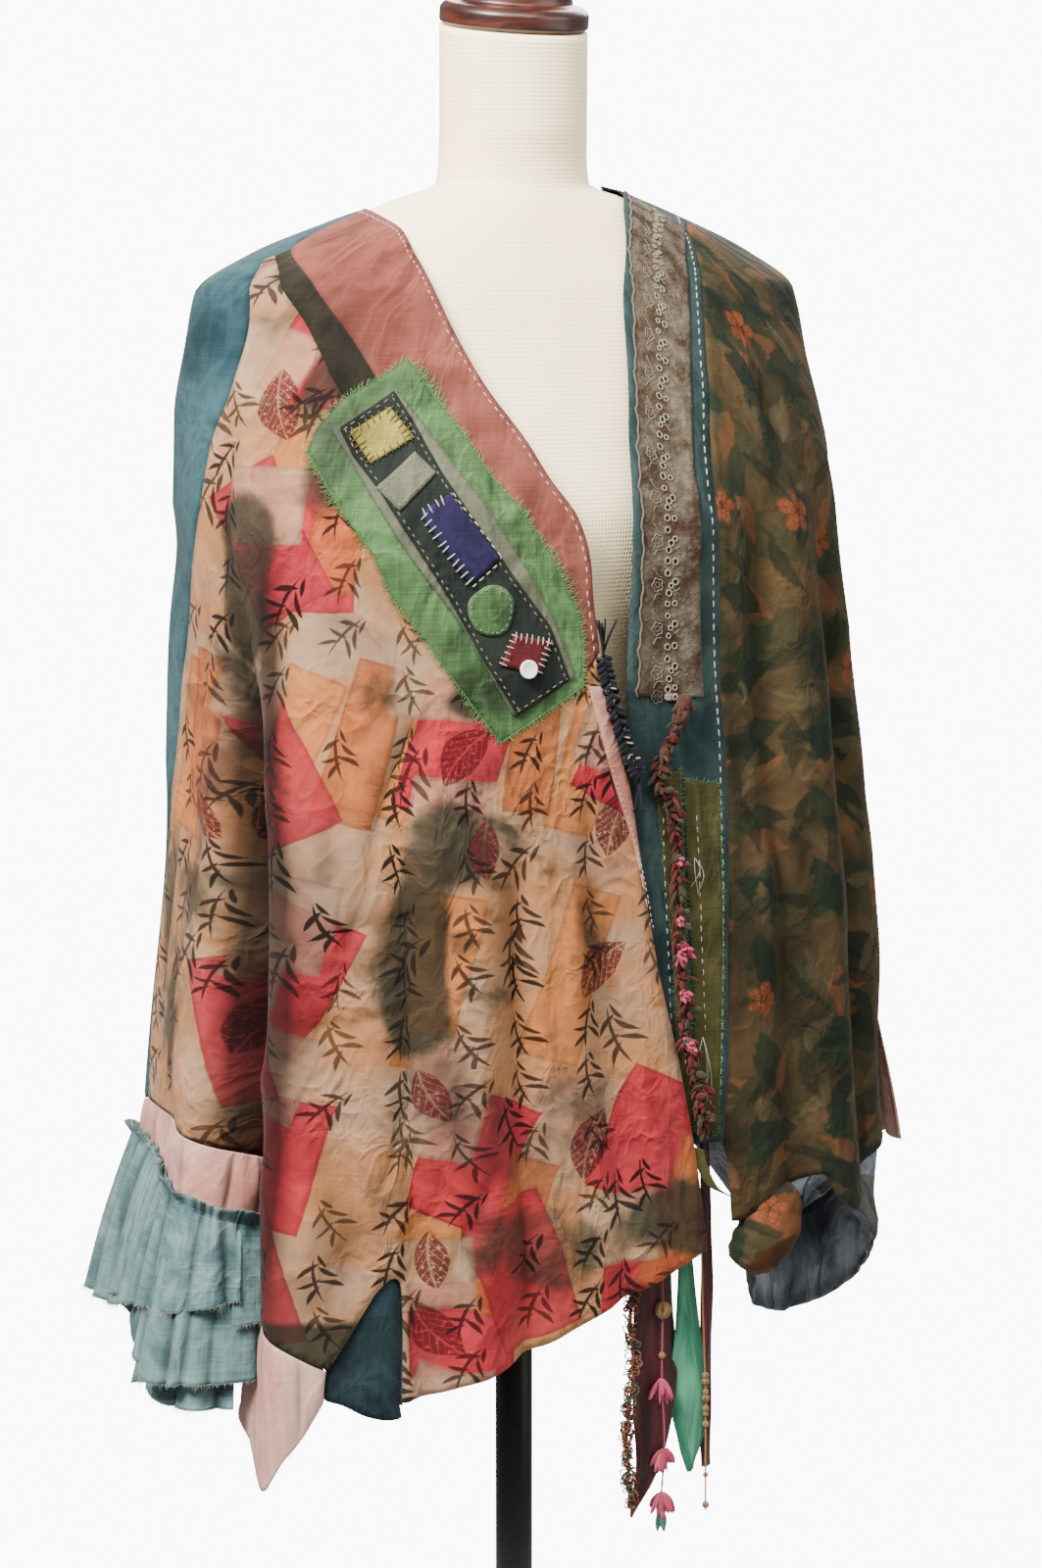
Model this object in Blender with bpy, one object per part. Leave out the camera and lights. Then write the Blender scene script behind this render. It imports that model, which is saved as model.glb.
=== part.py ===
"""Patchwork jacket on a limbless dress form.

Metres, +Z up. The jacket faces -Y, so the wearer's right is -X. A place on the cloth is an angle in degrees
round the body (0 at the front, 90 at the wearer's right, 180 at the back) and a height above the floor.
Panels are outlines in angle and height, cut from one folded skin, so neighbours share every seam.
"""

import math

import bmesh
import bpy
import numpy as np
from mathutils import Matrix, Vector
from mathutils.geometry import delaunay_2d_cdt

# Driving sizes
CLOTH = 0.002
PATCH_CLOTH = 0.001
SEAM_GAP = 0.0003
PATCH_GAP = 0.0004
ARC = 0.0049  # metres round the body in one degree, near enough for trimming an outline
UNDERLAP = 0.006  # how far the left front lies under the right one
UNDERARM_CLEAR = 0.0014  # from the sheets' inner faces to the side panel's first row

NECK_RADIUS = 0.053
NECK_TOP = 1.512
NECK_TILT = math.radians(8)
TORSO_BOTTOM = 0.72
POLE_RADIUS = 0.014
BASE_RADIUS = 0.17
BASE_HEIGHT = 0.032


def table(columns, *rows):
    """The rows as one array for each named column."""
    return dict(zip(columns.split(), np.array(rows, float).T))


# The unfolded cloth: half widths to each side, depths to the front and back, and how square the section is
BODY = table(
    "height right left front back square",
    (1.402, 0.062, 0.062, 0.055, 0.066, 2.0),
    (1.392, 0.094, 0.092, 0.060, 0.076, 2.0),
    (1.378, 0.129, 0.130, 0.067, 0.084, 2.05),
    (1.352, 0.200, 0.191, 0.079, 0.094, 2.1),
    (1.326, 0.241, 0.226, 0.091, 0.102, 2.2),
    (1.290, 0.246, 0.229, 0.106, 0.110, 2.3),
    (1.240, 0.254, 0.235, 0.127, 0.117, 2.45),
    (1.160, 0.255, 0.239, 0.150, 0.121, 2.7),
    (1.060, 0.255, 0.250, 0.153, 0.119, 2.9),
    (0.960, 0.257, 0.265, 0.156, 0.122, 3.0),
    (0.860, 0.265, 0.269, 0.160, 0.127, 3.1),
    (0.760, 0.274, 0.275, 0.164, 0.132, 3.1),
    (0.640, 0.286, 0.284, 0.168, 0.138, 3.1),
    (0.420, 0.290, 0.288, 0.172, 0.142, 3.1),
)

# Folds run from a top to a low point. A positive depth is a trough, a negative one a ridge. Width is in degrees.
FOLDS = table(
    "top_angle top_height low_angle low_height width depth fade",
    (75, 1.19, 69, 0.40, 3.6, 0.050, 0.30),
    (62, 1.06, 61, 0.40, 5.5, -0.013, 0.20),
    (81, 1.10, 80, 0.40, 5.0, -0.008, 0.20),
    (49, 1.03, 43, 0.40, 3.2, 0.010, 0.16),
    (37, 1.00, 33, 0.40, 3.5, -0.007, 0.16),
    (28, 1.01, 24, 0.40, 3.2, 0.009, 0.16),
    (10, 1.04, -4, 0.50, 3.5, 0.006, 0.16),
    (-42, 1.27, -44, 0.40, 3.2, 0.010, 0.16),
    (-51, 1.27, -53, 0.40, 4.0, -0.008, 0.16),
    (-60, 1.24, -63, 0.40, 3.5, 0.014, 0.20),
    (128, 1.30, 126, 0.40, 6.0, 0.014, 0.20),
    (157, 1.34, 154, 0.40, 6.0, 0.011, 0.20),
    (181, 1.36, 184, 0.40, 7.0, 0.014, 0.20),
    (206, 1.34, 209, 0.40, 6.0, 0.011, 0.20),
    (233, 1.30, 236, 0.40, 6.0, 0.014, 0.20),
)

# Stations of the skin: spans in degrees round it, and heights
ANGLE_SPANS = table(
    "start end steps",
    (-100, -76, 3),
    (-76, -48, 6),
    (-48, 48, 13),
    (48, 62, 3),
    (62, 80, 9),
    (80, 104, 3),
    (104, 260, 14),
    (260, 284, 3),
)
HEIGHTS = (1.402, 1.392, 1.378, 1.365, 1.352, 1.339, 1.326, 1.296, 1.255, 1.205, 1.150, 1.090, 1.030, 0.970,
           0.910, 0.850, 0.795, 0.745, 0.700, 0.655, 0.610, 0.565, 0.520, 0.470)

# Seam lines, each a run of angle and height from the shoulder down
RIGHT_NECK = ((92.5, 1.384), (80, 1.380), (67, 1.370), (59, 1.352), (53.2, 1.334), (43.5, 1.294), (34.8, 1.262),
              (26.3, 1.234), (18.5, 1.204), (10.8, 1.174), (8.6, 1.150), (8, 1.126), (6, 1.082))
RIGHT_BAND_SEAM = ((83.4, 1.356), (77.8, 1.346), (73.5, 1.336), (67.2, 1.311), (58.5, 1.272), (44, 1.210),
                   (29, 1.143), (10.8, 1.062))
RIGHT_STRIP_SEAM = ((84.6, 1.352), (80, 1.343), (76.2, 1.330), (72.2, 1.312), (64, 1.266), (49, 1.203),
                    (34, 1.132), (12.8, 1.050))
RIGHT_OVERARM = ((86, 1.350), (82.6, 1.340), (80, 1.322), (79.3, 1.300), (80, 1.262), (83, 1.221), (85.2, 1.173),
                 (88, 1.125), (92.8, 1.053), (95.8, 0.981), (99, 0.922), (101, 0.863), (101, 0.798), (100.5, 0.748))
RIGHT_EDGE = ((6, 1.082), (5, 1.058), (-3, 0.987), (-6, 0.938), (-8.5, 0.888), (-11, 0.845), (-15.5, 0.787),
              (-19, 0.728), (-20.8, 0.684), (-22.2, 0.644))
RIGHT_HEM = ((-22.2, 0.644), (-0.8, 0.617), (20, 0.594), (34.8, 0.576), (47.3, 0.561))
RIGHT_ARCH = ((47.3, 0.561), (47.4, 0.605), (47.6, 0.648), (50, 0.655), (52.5, 0.656), (55, 0.644),
              (57.2, 0.620), (57.6, 0.593))
RIGHT_SLEEVE_FRONT = ((57.6, 0.593), (62, 0.607), (67.8, 0.625), (70.5, 0.660), (73.5, 0.705), (78.8, 0.742),
                      (88, 0.747), (100.5, 0.748))
RIGHT_SLEEVE_BACK = ((100.5, 0.748), (109, 0.735), (117, 0.700), (125, 0.600))
RIGHT_BACK_ARCH = ((125, 0.600), (125.3, 0.620), (127, 0.644), (129, 0.656), (131.5, 0.655), (134, 0.648),
                   (134.3, 0.605), (134.4, 0.560))
BACK_HEM = ((134.4, 0.560), (150, 0.568), (165, 0.582), (180, 0.600), (195, 0.624), (210, 0.656), (226, 0.690))
LEFT_SLEEVE_BACK = ((226, 0.690), (231, 0.672), (238, 0.660), (250, 0.672), (262, 0.690))
BACK_NECK = ((92.5, 1.384), (106, 1.375), (125, 1.370), (150, 1.369), (180, 1.373), (215, 1.383), (245, 1.392),
             (276, 1.400))
LEFT_NECK = ((-84, 1.400), (-60, 1.393), (-45.8, 1.383), (-34, 1.353), (-25.5, 1.326), (-17, 1.275),
             (-10, 1.225), (-6.5, 1.170), (-5, 1.125), (-3.2, 1.056), (-3, 0.990), (-3, 0.850), (-5, 0.722))
LEFT_BAND_SEAM = ((-78, 1.376), (-67.8, 1.369), (-52.5, 1.325), (-40.5, 1.256), (-31.8, 1.176), (-31.8, 1.092),
                  (-32, 1.022), (-31.3, 0.909), (-29.2, 0.767), (-27.5, 0.721))
LEFT_OVERARM = ((-80, 1.347), (-78, 1.308), (-80, 1.262), (-83, 1.221), (-86, 1.160), (-90, 1.070),
                (-93, 0.980), (-96, 0.880), (-98, 0.780), (-98, 0.690))
LEFT_SLEEVE_FRONT = ((-27.5, 0.721), (-28.8, 0.700), (-29.6, 0.657), (-33, 0.662), (-38, 0.668), (-43, 0.677),
                     (-48.2, 0.684), (-51, 0.662), (-55, 0.650), (-60, 0.662), (-66, 0.680), (-80, 0.690),
                     (-98, 0.690))
# The left underarm seam: where the sleeve and the body part, seen from above
LEFT_UNDERARM = table("x y foot", (0.102, -0.1555, 0.690), (0.125, -0.128, 0.700), (0.146, -0.090, 0.700),
                      (0.168, -0.050, 0.700), (0.184, -0.010, 0.700), (0.188, 0.030, 0.700), (0.184, 0.070, 0.696),
                      (0.176, 0.106, 0.690))
LEFT_UNDERARM_TOP = 0.745
TRIM_LEFT = ((-62, 1.393), (-49, 1.383), (-37.2, 1.360), (-29, 1.326), (-16.8, 1.258), (-9.8, 1.192),
             (-7.8, 1.124), (-6, 1.048))
TRIM_RIGHT = ((-66, 1.371), (-56, 1.352), (-47.8, 1.325), (-35, 1.257), (-26.5, 1.190), (-25.2, 1.122),
              (-25.8, 1.044))

# Applied pieces on the right front: outline, layer above the cloth, colour
PATCHES = (
    ("green_patch", ((54.5, 1.284), (64, 1.249), (66.2, 1.225), (34, 1.024), (12.6, 1.056)), 0, "green_linen"),
    ("sage_underlay", ((57.5, 1.262), (63.6, 1.238), (31, 1.034), (14.6, 1.061)), 1, "sage_linen"),
    ("dark_patch", ((55.7, 1.258), (61.6, 1.238), (28.6, 1.043), (16, 1.065)), 2, "dark_linen"),
    ("yellow_patch", ((55, 1.250), (60, 1.236), (55.8, 1.214), (50, 1.231)), 3, "yellow_linen"),
    ("sage_patch", ((49.2, 1.221), (54, 1.198), (49.8, 1.183), (44.8, 1.208)), 3, "sage_linen"),
    ("purple_patch", ((43.4, 1.191), (46.6, 1.181), (38.2, 1.136), (32.2, 1.150)), 3, "purple_linen"),
    ("red_patch", ((26, 1.101), (31, 1.082), (25.2, 1.064), (20, 1.083)), 3, "dark_red_linen"),
)
DISC_CENTRE, DISC_RADIUS = (33.5, 1.116), 0.0175
BUTTON_CENTRE, BUTTON_RADIUS = (26.2, 1.075), 0.0065
FACING = ((9.6, 1.059), (3, 0.999), (-5.2, 0.932), (-8.6, 0.880), (-5.8, 0.938), (-2.7, 0.988), (5.3, 1.058))
OLIVE_PATCH = ((-12, 0.982), (-18.6, 0.996), (-19.4, 0.860), (-20.4, 0.730), (-16, 0.742), (-15.6, 0.860))
OLIVE_EDGE = ((-19.6, 0.988), (-29.4, 0.981), (-28.6, 0.860), (-26.2, 0.728), (-21.4, 0.730), (-20.4, 0.860))

# The dress form under the cloth
TORSO = table(
    "height width front back square",
    (1.440, 0.053, 0.052, 0.054, 2.0),
    (1.416, 0.054, 0.049, 0.056, 2.0),
    (1.402, 0.056, 0.050, 0.059, 2.0),
    (1.392, 0.0895, 0.055, 0.070, 2.0),
    (1.378, 0.1265, 0.061, 0.078, 2.05),
    (1.352, 0.1875, 0.072, 0.087, 2.1),
    (1.334, 0.197, 0.079, 0.091, 2.2),
    (1.310, 0.195, 0.087, 0.093, 2.3),
    (1.270, 0.184, 0.100, 0.096, 2.4),
    (1.220, 0.172, 0.115, 0.098, 2.4),
    (1.170, 0.164, 0.126, 0.097, 2.35),
    (1.110, 0.153, 0.116, 0.092, 2.25),
    (1.040, 0.134, 0.098, 0.086, 2.15),
    (0.990, 0.128, 0.092, 0.086, 2.1),
    (0.930, 0.139, 0.097, 0.092, 2.15),
    (0.860, 0.162, 0.107, 0.100, 2.2),
    (0.790, 0.174, 0.110, 0.102, 2.25),
    (TORSO_BOTTOM, 0.170, 0.106, 0.098, 2.25),
)

# Turned wood: radius at each height above the piece's foot
NECK_CAP = table(
    "radius height",
    (0.0500, 0.000), (0.0535, 0.004), (0.0535, 0.011), (0.0500, 0.016), (0.0415, 0.019), (0.0400, 0.027),
    (0.0340, 0.033), (0.0150, 0.040), (0.0105, 0.052), (0.0155, 0.063), (0.0150, 0.076), (0.0030, 0.086),
)
FLOOR_BASE = table(
    "radius height",
    (BASE_RADIUS - 0.006, 0.0), (BASE_RADIUS, 0.006), (BASE_RADIUS, 0.016), (BASE_RADIUS - 0.014, 0.024),
    (0.06, 0.029), (0.034, BASE_HEIGHT),
)

# Ruffle on the right sleeve: how far it hangs, by angle
RUFFLE_TOP = table("angle height", (73.2, 0.660), (79, 0.699), (88, 0.704), (100, 0.705), (110, 0.690), (120, 0.640))
RUFFLE_DROP = table(
    "angle long short", (73.2, 0.100, 0.066), (80, 0.145, 0.088), (87, 0.135, 0.078), (93, 0.102, 0.064),
    (101, 0.078, 0.050), (120, 0.058, 0.040),
)
RUFFLE_PLEATS = 15

# Cuff band on the right sleeve: how deep it hangs below the sleeve's end, by angle
CUFF_DEPTH = table(
    "angle depth", (57.6, 0.040), (60, 0.062), (64, 0.098), (67.8, 0.066), (72, 0.050), (80, 0.043), (125, 0.043)
)

# Left cuff: gathered from the sleeve's end into a slanted cup, higher at the front. Turns are degrees round its middle.
LEFT_CUFF_CENTRE = (0.215, -0.076)
LEFT_CUFF_RADII = (0.053, 0.036)
LEFT_CUFF_TOP = 0.698
LEFT_CUFF_END = table(
    "turn height", (0, 0.656), (40, 0.620), (90, 0.578), (150, 0.546), (180, 0.540), (210, 0.548), (270, 0.594),
    (320, 0.636), (360, 0.656),
)
# The flowered roll under the left front's lower edge
LEFT_ROLL = table("angle height radius", (-31.4, 0.6245, 0.011), (-33, 0.6325, 0.018), (-37.8, 0.6425, 0.0215),
                  (-43.5, 0.6605, 0.0165), (-47.8, 0.6755, 0.0080))

# Hanging pieces: the centre line, how far each row hangs forward of the first, and a ribbon's half width.
# Room is from the inner face of what each hangs behind: the right front, or the left band's hem.
RIBBONS = (
    ("maroon_ribbon", "right", 0.0095,
     table("x z forward half", (0.033, 0.662, 0, 0.015), (0.033, 0.615, 0.001, 0.016), (0.034, 0.560, 0.002, 0.018),
           (0.032, 0.505, 0.003, 0.014), (0.024, 0.470, 0.004, 0.009), (0.014, 0.447, 0.004, 0.0015))),
    ("maroon_ribbon_narrow", "left", 0.0030,
     table("x z forward half", (0.0740, 0.734, 0, 0.004), (0.0770, 0.660, 0, 0.0045), (0.0780, 0.600, 0, 0.005),
           (0.0780, 0.530, 0, 0.005), (0.0780, 0.474, 0.001, 0.004))),
    ("green_ribbon", "right", 0.0095,
     table("x z forward half", (0.0580, 0.664, 0, 0.004), (0.0620, 0.622, 0.002, 0.005),
           (0.0640, 0.575, 0.004, 0.009), (0.0660, 0.530, 0.005, 0.011), (0.0665, 0.495, 0.005, 0.008),
           (0.0640, 0.474, 0.005, 0.0025))),
)
CORDS = (
    ("boucle_yarn", "rust_yarn", 0.0040,
     table("x z forward", (0.0120, 0.634, 0), (0.0125, 0.611, 0), (0.0100, 0.560, 0.007), (0.0050, 0.509, 0.008),
           (0.0080, 0.457, 0.008))),
    ("tuft_yarn", "pink_yarn", 0.0030,
     table("x z forward", (0.0370, 0.645, 0), (0.0380, 0.604, 0.001), (0.0370, 0.554, 0.002), (0.0390, 0.501, 0.003),
           (0.0360, 0.453, 0.003))),
    ("tan_yarn", "tan_yarn", 0.0020,
     table("x z forward", (0.0695, 0.660, 0.0007), (0.0710, 0.600, 0.0015), (0.0740, 0.519, 0.002),
           (0.0740, 0.443, 0.003))),
)
RIBBON_CLOTH = 0.0012
# Braids lie along the cloth: angle, height, and how far their middle stands off it
YARN_BRAID = table(
    "angle height", (-19, 1.044), (-15.5, 1.018), (-11.4, 0.994), (-14.3, 0.971), (-16.4, 0.945), (-16.2, 0.879),
    (-17.2, 0.808), (-19.6, 0.772), (-22.4, 0.726),
)
NAVY_BRAID = table("angle height", (6.2, 1.079), (4.4, 1.058), (1.2, 1.030), (-2.2, 1.008), (-4.6, 0.994))
OLIVE_TIE = table("angle height half", (-20.6, 0.7195, 0.006), (-21.6, 0.706, 0.006), (-24.0, 0.690, 0.006),
                  (-28.4, 0.680, 0.003))

COLOURS = {
    "print_cloth": (0.42, 0.27, 0.21), "rust_linen": (0.29, 0.09, 0.08), "teal_linen": (0.07, 0.17, 0.20),
    "dark_linen": (0.02, 0.035, 0.04), "pale_pink_linen": (0.62, 0.28, 0.25), "green_linen": (0.12, 0.32, 0.12),
    "sage_linen": (0.23, 0.25, 0.18), "yellow_linen": (0.50, 0.45, 0.09), "purple_linen": (0.06, 0.05, 0.20),
    "dark_red_linen": (0.16, 0.02, 0.03), "flower_cloth": (0.11, 0.09, 0.04), "dark_teal_linen": (0.04, 0.09, 0.10),
    "eyelet_lace": (0.19, 0.13, 0.10), "olive_linen": (0.11, 0.12, 0.03), "grey_teal_cotton": (0.06, 0.08, 0.09),
    "maroon_silk": (0.07, 0.012, 0.018), "green_silk": (0.06, 0.35, 0.20), "rust_yarn": (0.19, 0.06, 0.03),
    "pink_yarn": (0.60, 0.08, 0.19), "tan_yarn": (0.35, 0.20, 0.10), "navy_yarn": (0.015, 0.015, 0.05),
    "white_shell": (0.80, 0.78, 0.72), "cream_jersey": (0.90, 0.84, 0.70), "mahogany": (0.10, 0.02, 0.01),
    "black_iron": (0.02, 0.02, 0.02),
}
ROUGHNESS = {"mahogany": 0.25, "black_iron": 0.4, "maroon_silk": 0.5, "green_silk": 0.5, "white_shell": 0.3}
METALLIC = {"black_iron": 0.8}


# Curves and sections

def smooth_curve(xs, ys, x):
    """The smooth curve through (xs, ys) at x, level where the samples turn back."""
    if xs[0] > xs[-1]:
        xs, ys = xs[::-1], ys[::-1]
    step = np.diff(xs)
    slope = np.diff(ys) / step
    same_way = slope[:-1] * slope[1:] > 0
    ahead = 2 * step[1:] + step[:-1]
    behind = step[1:] + 2 * step[:-1]
    early, late = np.where(same_way, slope[:-1], 1), np.where(same_way, slope[1:], 1)
    tangent = np.zeros(len(xs))
    tangent[1:-1] = np.where(same_way, (ahead + behind) / (ahead / early + behind / late), 0)
    tangent[0], tangent[-1] = slope[0], slope[-1]
    x = np.clip(x, xs[0], xs[-1])
    i = np.clip(np.searchsorted(xs, x) - 1, 0, len(step) - 1)
    t = (x - xs[i]) / step[i]
    return ((1 + 2 * t) * (1 - t) ** 2 * ys[i] + t * (1 - t) ** 2 * step[i] * tangent[i]
            + t * t * (3 - 2 * t) * ys[i + 1] + t * t * (t - 1) * step[i] * tangent[i + 1])


def oval(angle, width_right, width_left, front, back, square):
    """Plan point and outward direction at an angle, on a closed curve with |x/w|^n + |y/d|^n = 1."""
    sin, cos = np.sin(np.radians(angle)), np.cos(np.radians(angle))
    width = np.where(sin >= 0, width_right, width_left)
    depth = np.where(cos >= 0, front, back)
    reach = (np.abs(sin / width) ** square + np.abs(cos / depth) ** square) ** (-1 / square)
    x, y = -reach * sin, -reach * cos
    out = np.stack([np.sign(x) * np.abs(x) ** (square - 1) / width ** square,
                    np.sign(y) * np.abs(y) ** (square - 1) / depth ** square], -1)
    return x, y, out / np.linalg.norm(out, axis=-1, keepdims=True)


def fade(t):
    t = np.clip(t, 0, 1)
    return t * t * (3 - 2 * t)


def fold_depth(angle, height):
    """How far the folds move the cloth inward."""
    turned = (angle + 100) % 360 - 100
    depth = np.zeros_like(angle)
    for top_angle, top, low_angle, low, width, deep, soft in zip(*FOLDS.values()):
        middle = np.interp(height, (low, top), (low_angle, top_angle))
        across = ((turned - middle + 180) % 360 - 180) / width
        depth += deep * np.exp(-across ** 2) * fade((top - height) / soft) * fade((height - low) / soft + 0.5)
    return depth


def grid_normals(points, wraps=False):
    """Unit normals of a grid of points, from the differences along its rows and columns."""
    if wraps:
        along = np.roll(points, -1, 1) - np.roll(points, 1, 1)
    else:
        along = np.gradient(points, axis=1)
    normals = np.cross(along, np.gradient(points, axis=0))
    return normals / np.linalg.norm(normals, axis=-1, keepdims=True)


class Skin:
    """A faceted surface over angle and height. Each cell is split from its upper left to its lower right corner."""

    def __init__(self, angles, heights, points, normals):
        self.angles, self.heights, self.points, self.normals = angles, heights, points, normals

    def moved(self, out):
        """This skin moved out along its normals by one distance for each angle."""
        return Skin(self.angles, self.heights, self.points + self.normals * out[None, :, None], self.normals)

    def cell(self, angle, height):
        """The row and column of each place's cell, and its shares of the way down and along the cell."""
        angle, height = np.asarray(angle, float), np.asarray(height, float)
        j = np.clip(np.searchsorted(self.angles, angle) - 1, 0, len(self.angles) - 2)
        i = np.clip(np.searchsorted(-self.heights, -height) - 1, 0, len(self.heights) - 2)
        along = (angle - self.angles[j]) / (self.angles[j + 1] - self.angles[j])
        down = (self.heights[i] - height) / (self.heights[i] - self.heights[i + 1])
        return i, j, down[..., None], along[..., None]

    def place(self, angle, height, out=0.0):
        """The point on the facets at each angle and height, moved out."""
        i, j, r, s = self.cell(angle, height)

        def blend(field):
            a, b, c, d = field[i, j], field[i, j + 1], field[i + 1, j + 1], field[i + 1, j]
            return np.where(s >= r, a + (b - a) * s + (c - b) * r, a + (d - a) * r + (c - d) * s)

        return blend(self.points) + blend(self.normals) * np.asarray(out)[..., None]

    def bends(self, angle, height):
        """Where a finely sampled line passes from one facet to the next."""
        i, j, r, s = self.cell(angle, height)
        facet = (i * len(self.angles) + j) * 2 + (s >= r)[..., 0]
        return np.flatnonzero(np.diff(facet))


def make_skin():
    spans = [np.linspace(start, end, int(steps) + 1)[:-1] for start, end, steps in zip(*ANGLE_SPANS.values())]
    angles = np.append(np.concatenate(spans), ANGLE_SPANS["end"][-1])
    heights = np.array(HEIGHTS)
    angle, height = np.meshgrid(angles, heights)
    sizes = [smooth_curve(BODY["height"], BODY[name], height) for name in ("right", "left", "front", "back", "square")]
    x, y, out = oval(angle, *sizes)
    inward = fold_depth(angle, height)
    points = np.stack([x - out[..., 0] * inward, y - out[..., 1] * inward, height], -1)
    return Skin(angles, heights, points, grid_normals(points))


# Making solids

def material(name):
    made = bpy.data.materials.get(name)
    if made is None:
        made = bpy.data.materials.new(name)
        made.use_nodes = True
        shader = made.node_tree.nodes["Principled BSDF"]
        shader.inputs["Base Color"].default_value = (*COLOURS[name], 1)
        shader.inputs["Roughness"].default_value = ROUGHNESS.get(name, 0.85)
        shader.inputs["Metallic"].default_value = METALLIC.get(name, 0)
        made.diffuse_color = (*COLOURS[name], 1)
    return made


def add_solid(name, points, faces, material_name):
    """A closed body from points and faces, with its faces turned outward."""
    mesh = bpy.data.meshes.new(name)
    mesh.from_pydata([tuple(p) for p in points], [], faces)
    body = bmesh.new()
    body.from_mesh(mesh)
    bmesh.ops.remove_doubles(body, verts=body.verts, dist=1e-5)
    bmesh.ops.recalc_face_normals(body, faces=body.faces)
    body.to_mesh(mesh)
    body.free()
    mesh.materials.append(material(material_name))
    made = bpy.data.objects.new(name, mesh)
    bpy.context.collection.objects.link(made)
    return made


def rim_edges(faces):
    """Edges that only one face has, in that face's direction."""
    edges = {}
    for face in faces:
        for a, b in zip(face, face[1:] + face[:1]):
            edges[a, b] = True
    return [edge for edge in edges if edge[::-1] not in edges]


def close_wall(name, outer, inner, faces, material_name):
    """A wall between two matching sheets of points, closed round its rim."""
    n = len(outer)
    rims = [(b, a, a + n, b + n) for a, b in rim_edges(faces)]
    backs = [tuple(v + n for v in reversed(face)) for face in faces]
    return add_solid(name, np.concatenate([outer, inner]), faces + backs + rims, material_name)


def inset(outline, distance):
    """The outline moved inward, in metres of cloth."""
    flat = np.array(outline, float) * (ARC, 1)
    before, after = flat - np.roll(flat, 1, 0), np.roll(flat, -1, 0) - flat
    turn = np.sign((flat[:, 0] * np.roll(flat[:, 1], -1) - np.roll(flat[:, 0], -1) * flat[:, 1]).sum())
    sides = [np.stack([-d[:, 1], d[:, 0]], 1) * turn / np.linalg.norm(d, axis=1, keepdims=True) for d in (before, after)]
    middle = sides[0] + sides[1]
    middle /= np.maximum((middle * sides[0]).sum(1, keepdims=True), 0.35)
    return (flat + middle * distance) / (ARC, 1)


def inside(points, outline):
    """Which points are inside the outline, by counting the edges to their right."""
    x, y = points[:, 0], points[:, 1]
    odd = np.zeros(len(points), bool)
    for (x0, y0), (x1, y1) in zip(outline, np.roll(outline, -1, 0)):
        spans = (y0 > y) != (y1 > y)
        if y0 != y1:
            odd ^= spans & (x < x0 + (y - y0) * (x1 - x0) / (y1 - y0))
    return odd


def cut_panel(skin, outline, trim=SEAM_GAP / 2):
    """Angle, height and triangles of the part of the skin inside an outline, with the skin's own facets kept."""
    outline = inset(outline, trim)
    low, high = outline.min(0), outline.max(0)
    js = np.flatnonzero((skin.angles[1:] > low[0]) & (skin.angles[:-1] < high[0]))
    rows = np.flatnonzero((skin.heights[:-1] > low[1]) & (skin.heights[1:] < high[1]))
    js, rows = np.append(js, js[-1] + 1), np.append(rows, rows[-1] + 1)
    width = len(js)
    flat = [Vector((a * ARC, h)) for h in skin.heights[rows] for a in skin.angles[js]]
    edges = []
    for r in range(len(rows)):
        for c in range(width):
            k = r * width + c
            if c + 1 < width:
                edges.append((k, k + 1))
            if r + 1 < len(rows):
                edges.append((k, k + width))
            if c + 1 < width and r + 1 < len(rows):
                edges.append((k, k + width + 1))
    start = len(flat)
    flat += [Vector((a * ARC, h)) for a, h in outline]
    edges += [(start + k, start + (k + 1) % len(outline)) for k in range(len(outline))]
    flat, _, faces, *_ = delaunay_2d_cdt(flat, edges, [], 0, 3e-5)
    places = np.array([tuple(v) for v in flat]) / (ARC, 1)
    middles = np.array([places[list(face)].mean(0) for face in faces])
    faces = [tuple(face) for face, kept in zip(faces, inside(middles, outline)) if kept]
    used = sorted({v for face in faces for v in face})
    new = {v: k for k, v in enumerate(used)}
    return places[used], [tuple(new[v] for v in face) for face in faces]


def panel(name, skin, outline, low, high, material_name, trim=SEAM_GAP / 2):
    """A cloth wall from low to high above the skin, inside the outline."""
    places, faces = cut_panel(skin, outline, trim)
    outer, inner = (skin.place(*places.T, out) for out in (high, low))
    return close_wall(name, outer, inner, faces, material_name)


def wall(name, middle, thickness, material_name, wraps=False, skin_normals=None):
    """A cloth wall round a grid of middle points. Its first columns may take the skin's normals."""
    rows, columns = middle.shape[:2]
    normals = grid_normals(middle, wraps)
    if skin_normals is not None:
        normals[:, :skin_normals.shape[1]] = skin_normals
    shift = normals * thickness / 2
    faces = []
    for r in range(rows - 1):
        for c in range(columns - (not wraps)):
            a, b = r * columns + c, r * columns + (c + 1) % columns
            faces += [(a, b, b + columns), (a, b + columns, a + columns)]
    flat = (middle + shift).reshape(-1, 3), (middle - shift).reshape(-1, 3)
    return close_wall(name, *flat, faces, material_name)


def rings_solid(name, rings, material_name):
    """A solid through rings of points, closed flat at both ends."""
    count, sides = len(rings), len(rings[0])
    faces = [tuple(range(sides)), tuple(range((count - 1) * sides, count * sides))[::-1]]
    for r in range(count - 1):
        for c in range(sides):
            a, b = r * sides + c, r * sides + (c + 1) % sides
            faces.append((a, a + sides, b + sides, b))
    return add_solid(name, np.concatenate(rings), faces, material_name)


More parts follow.
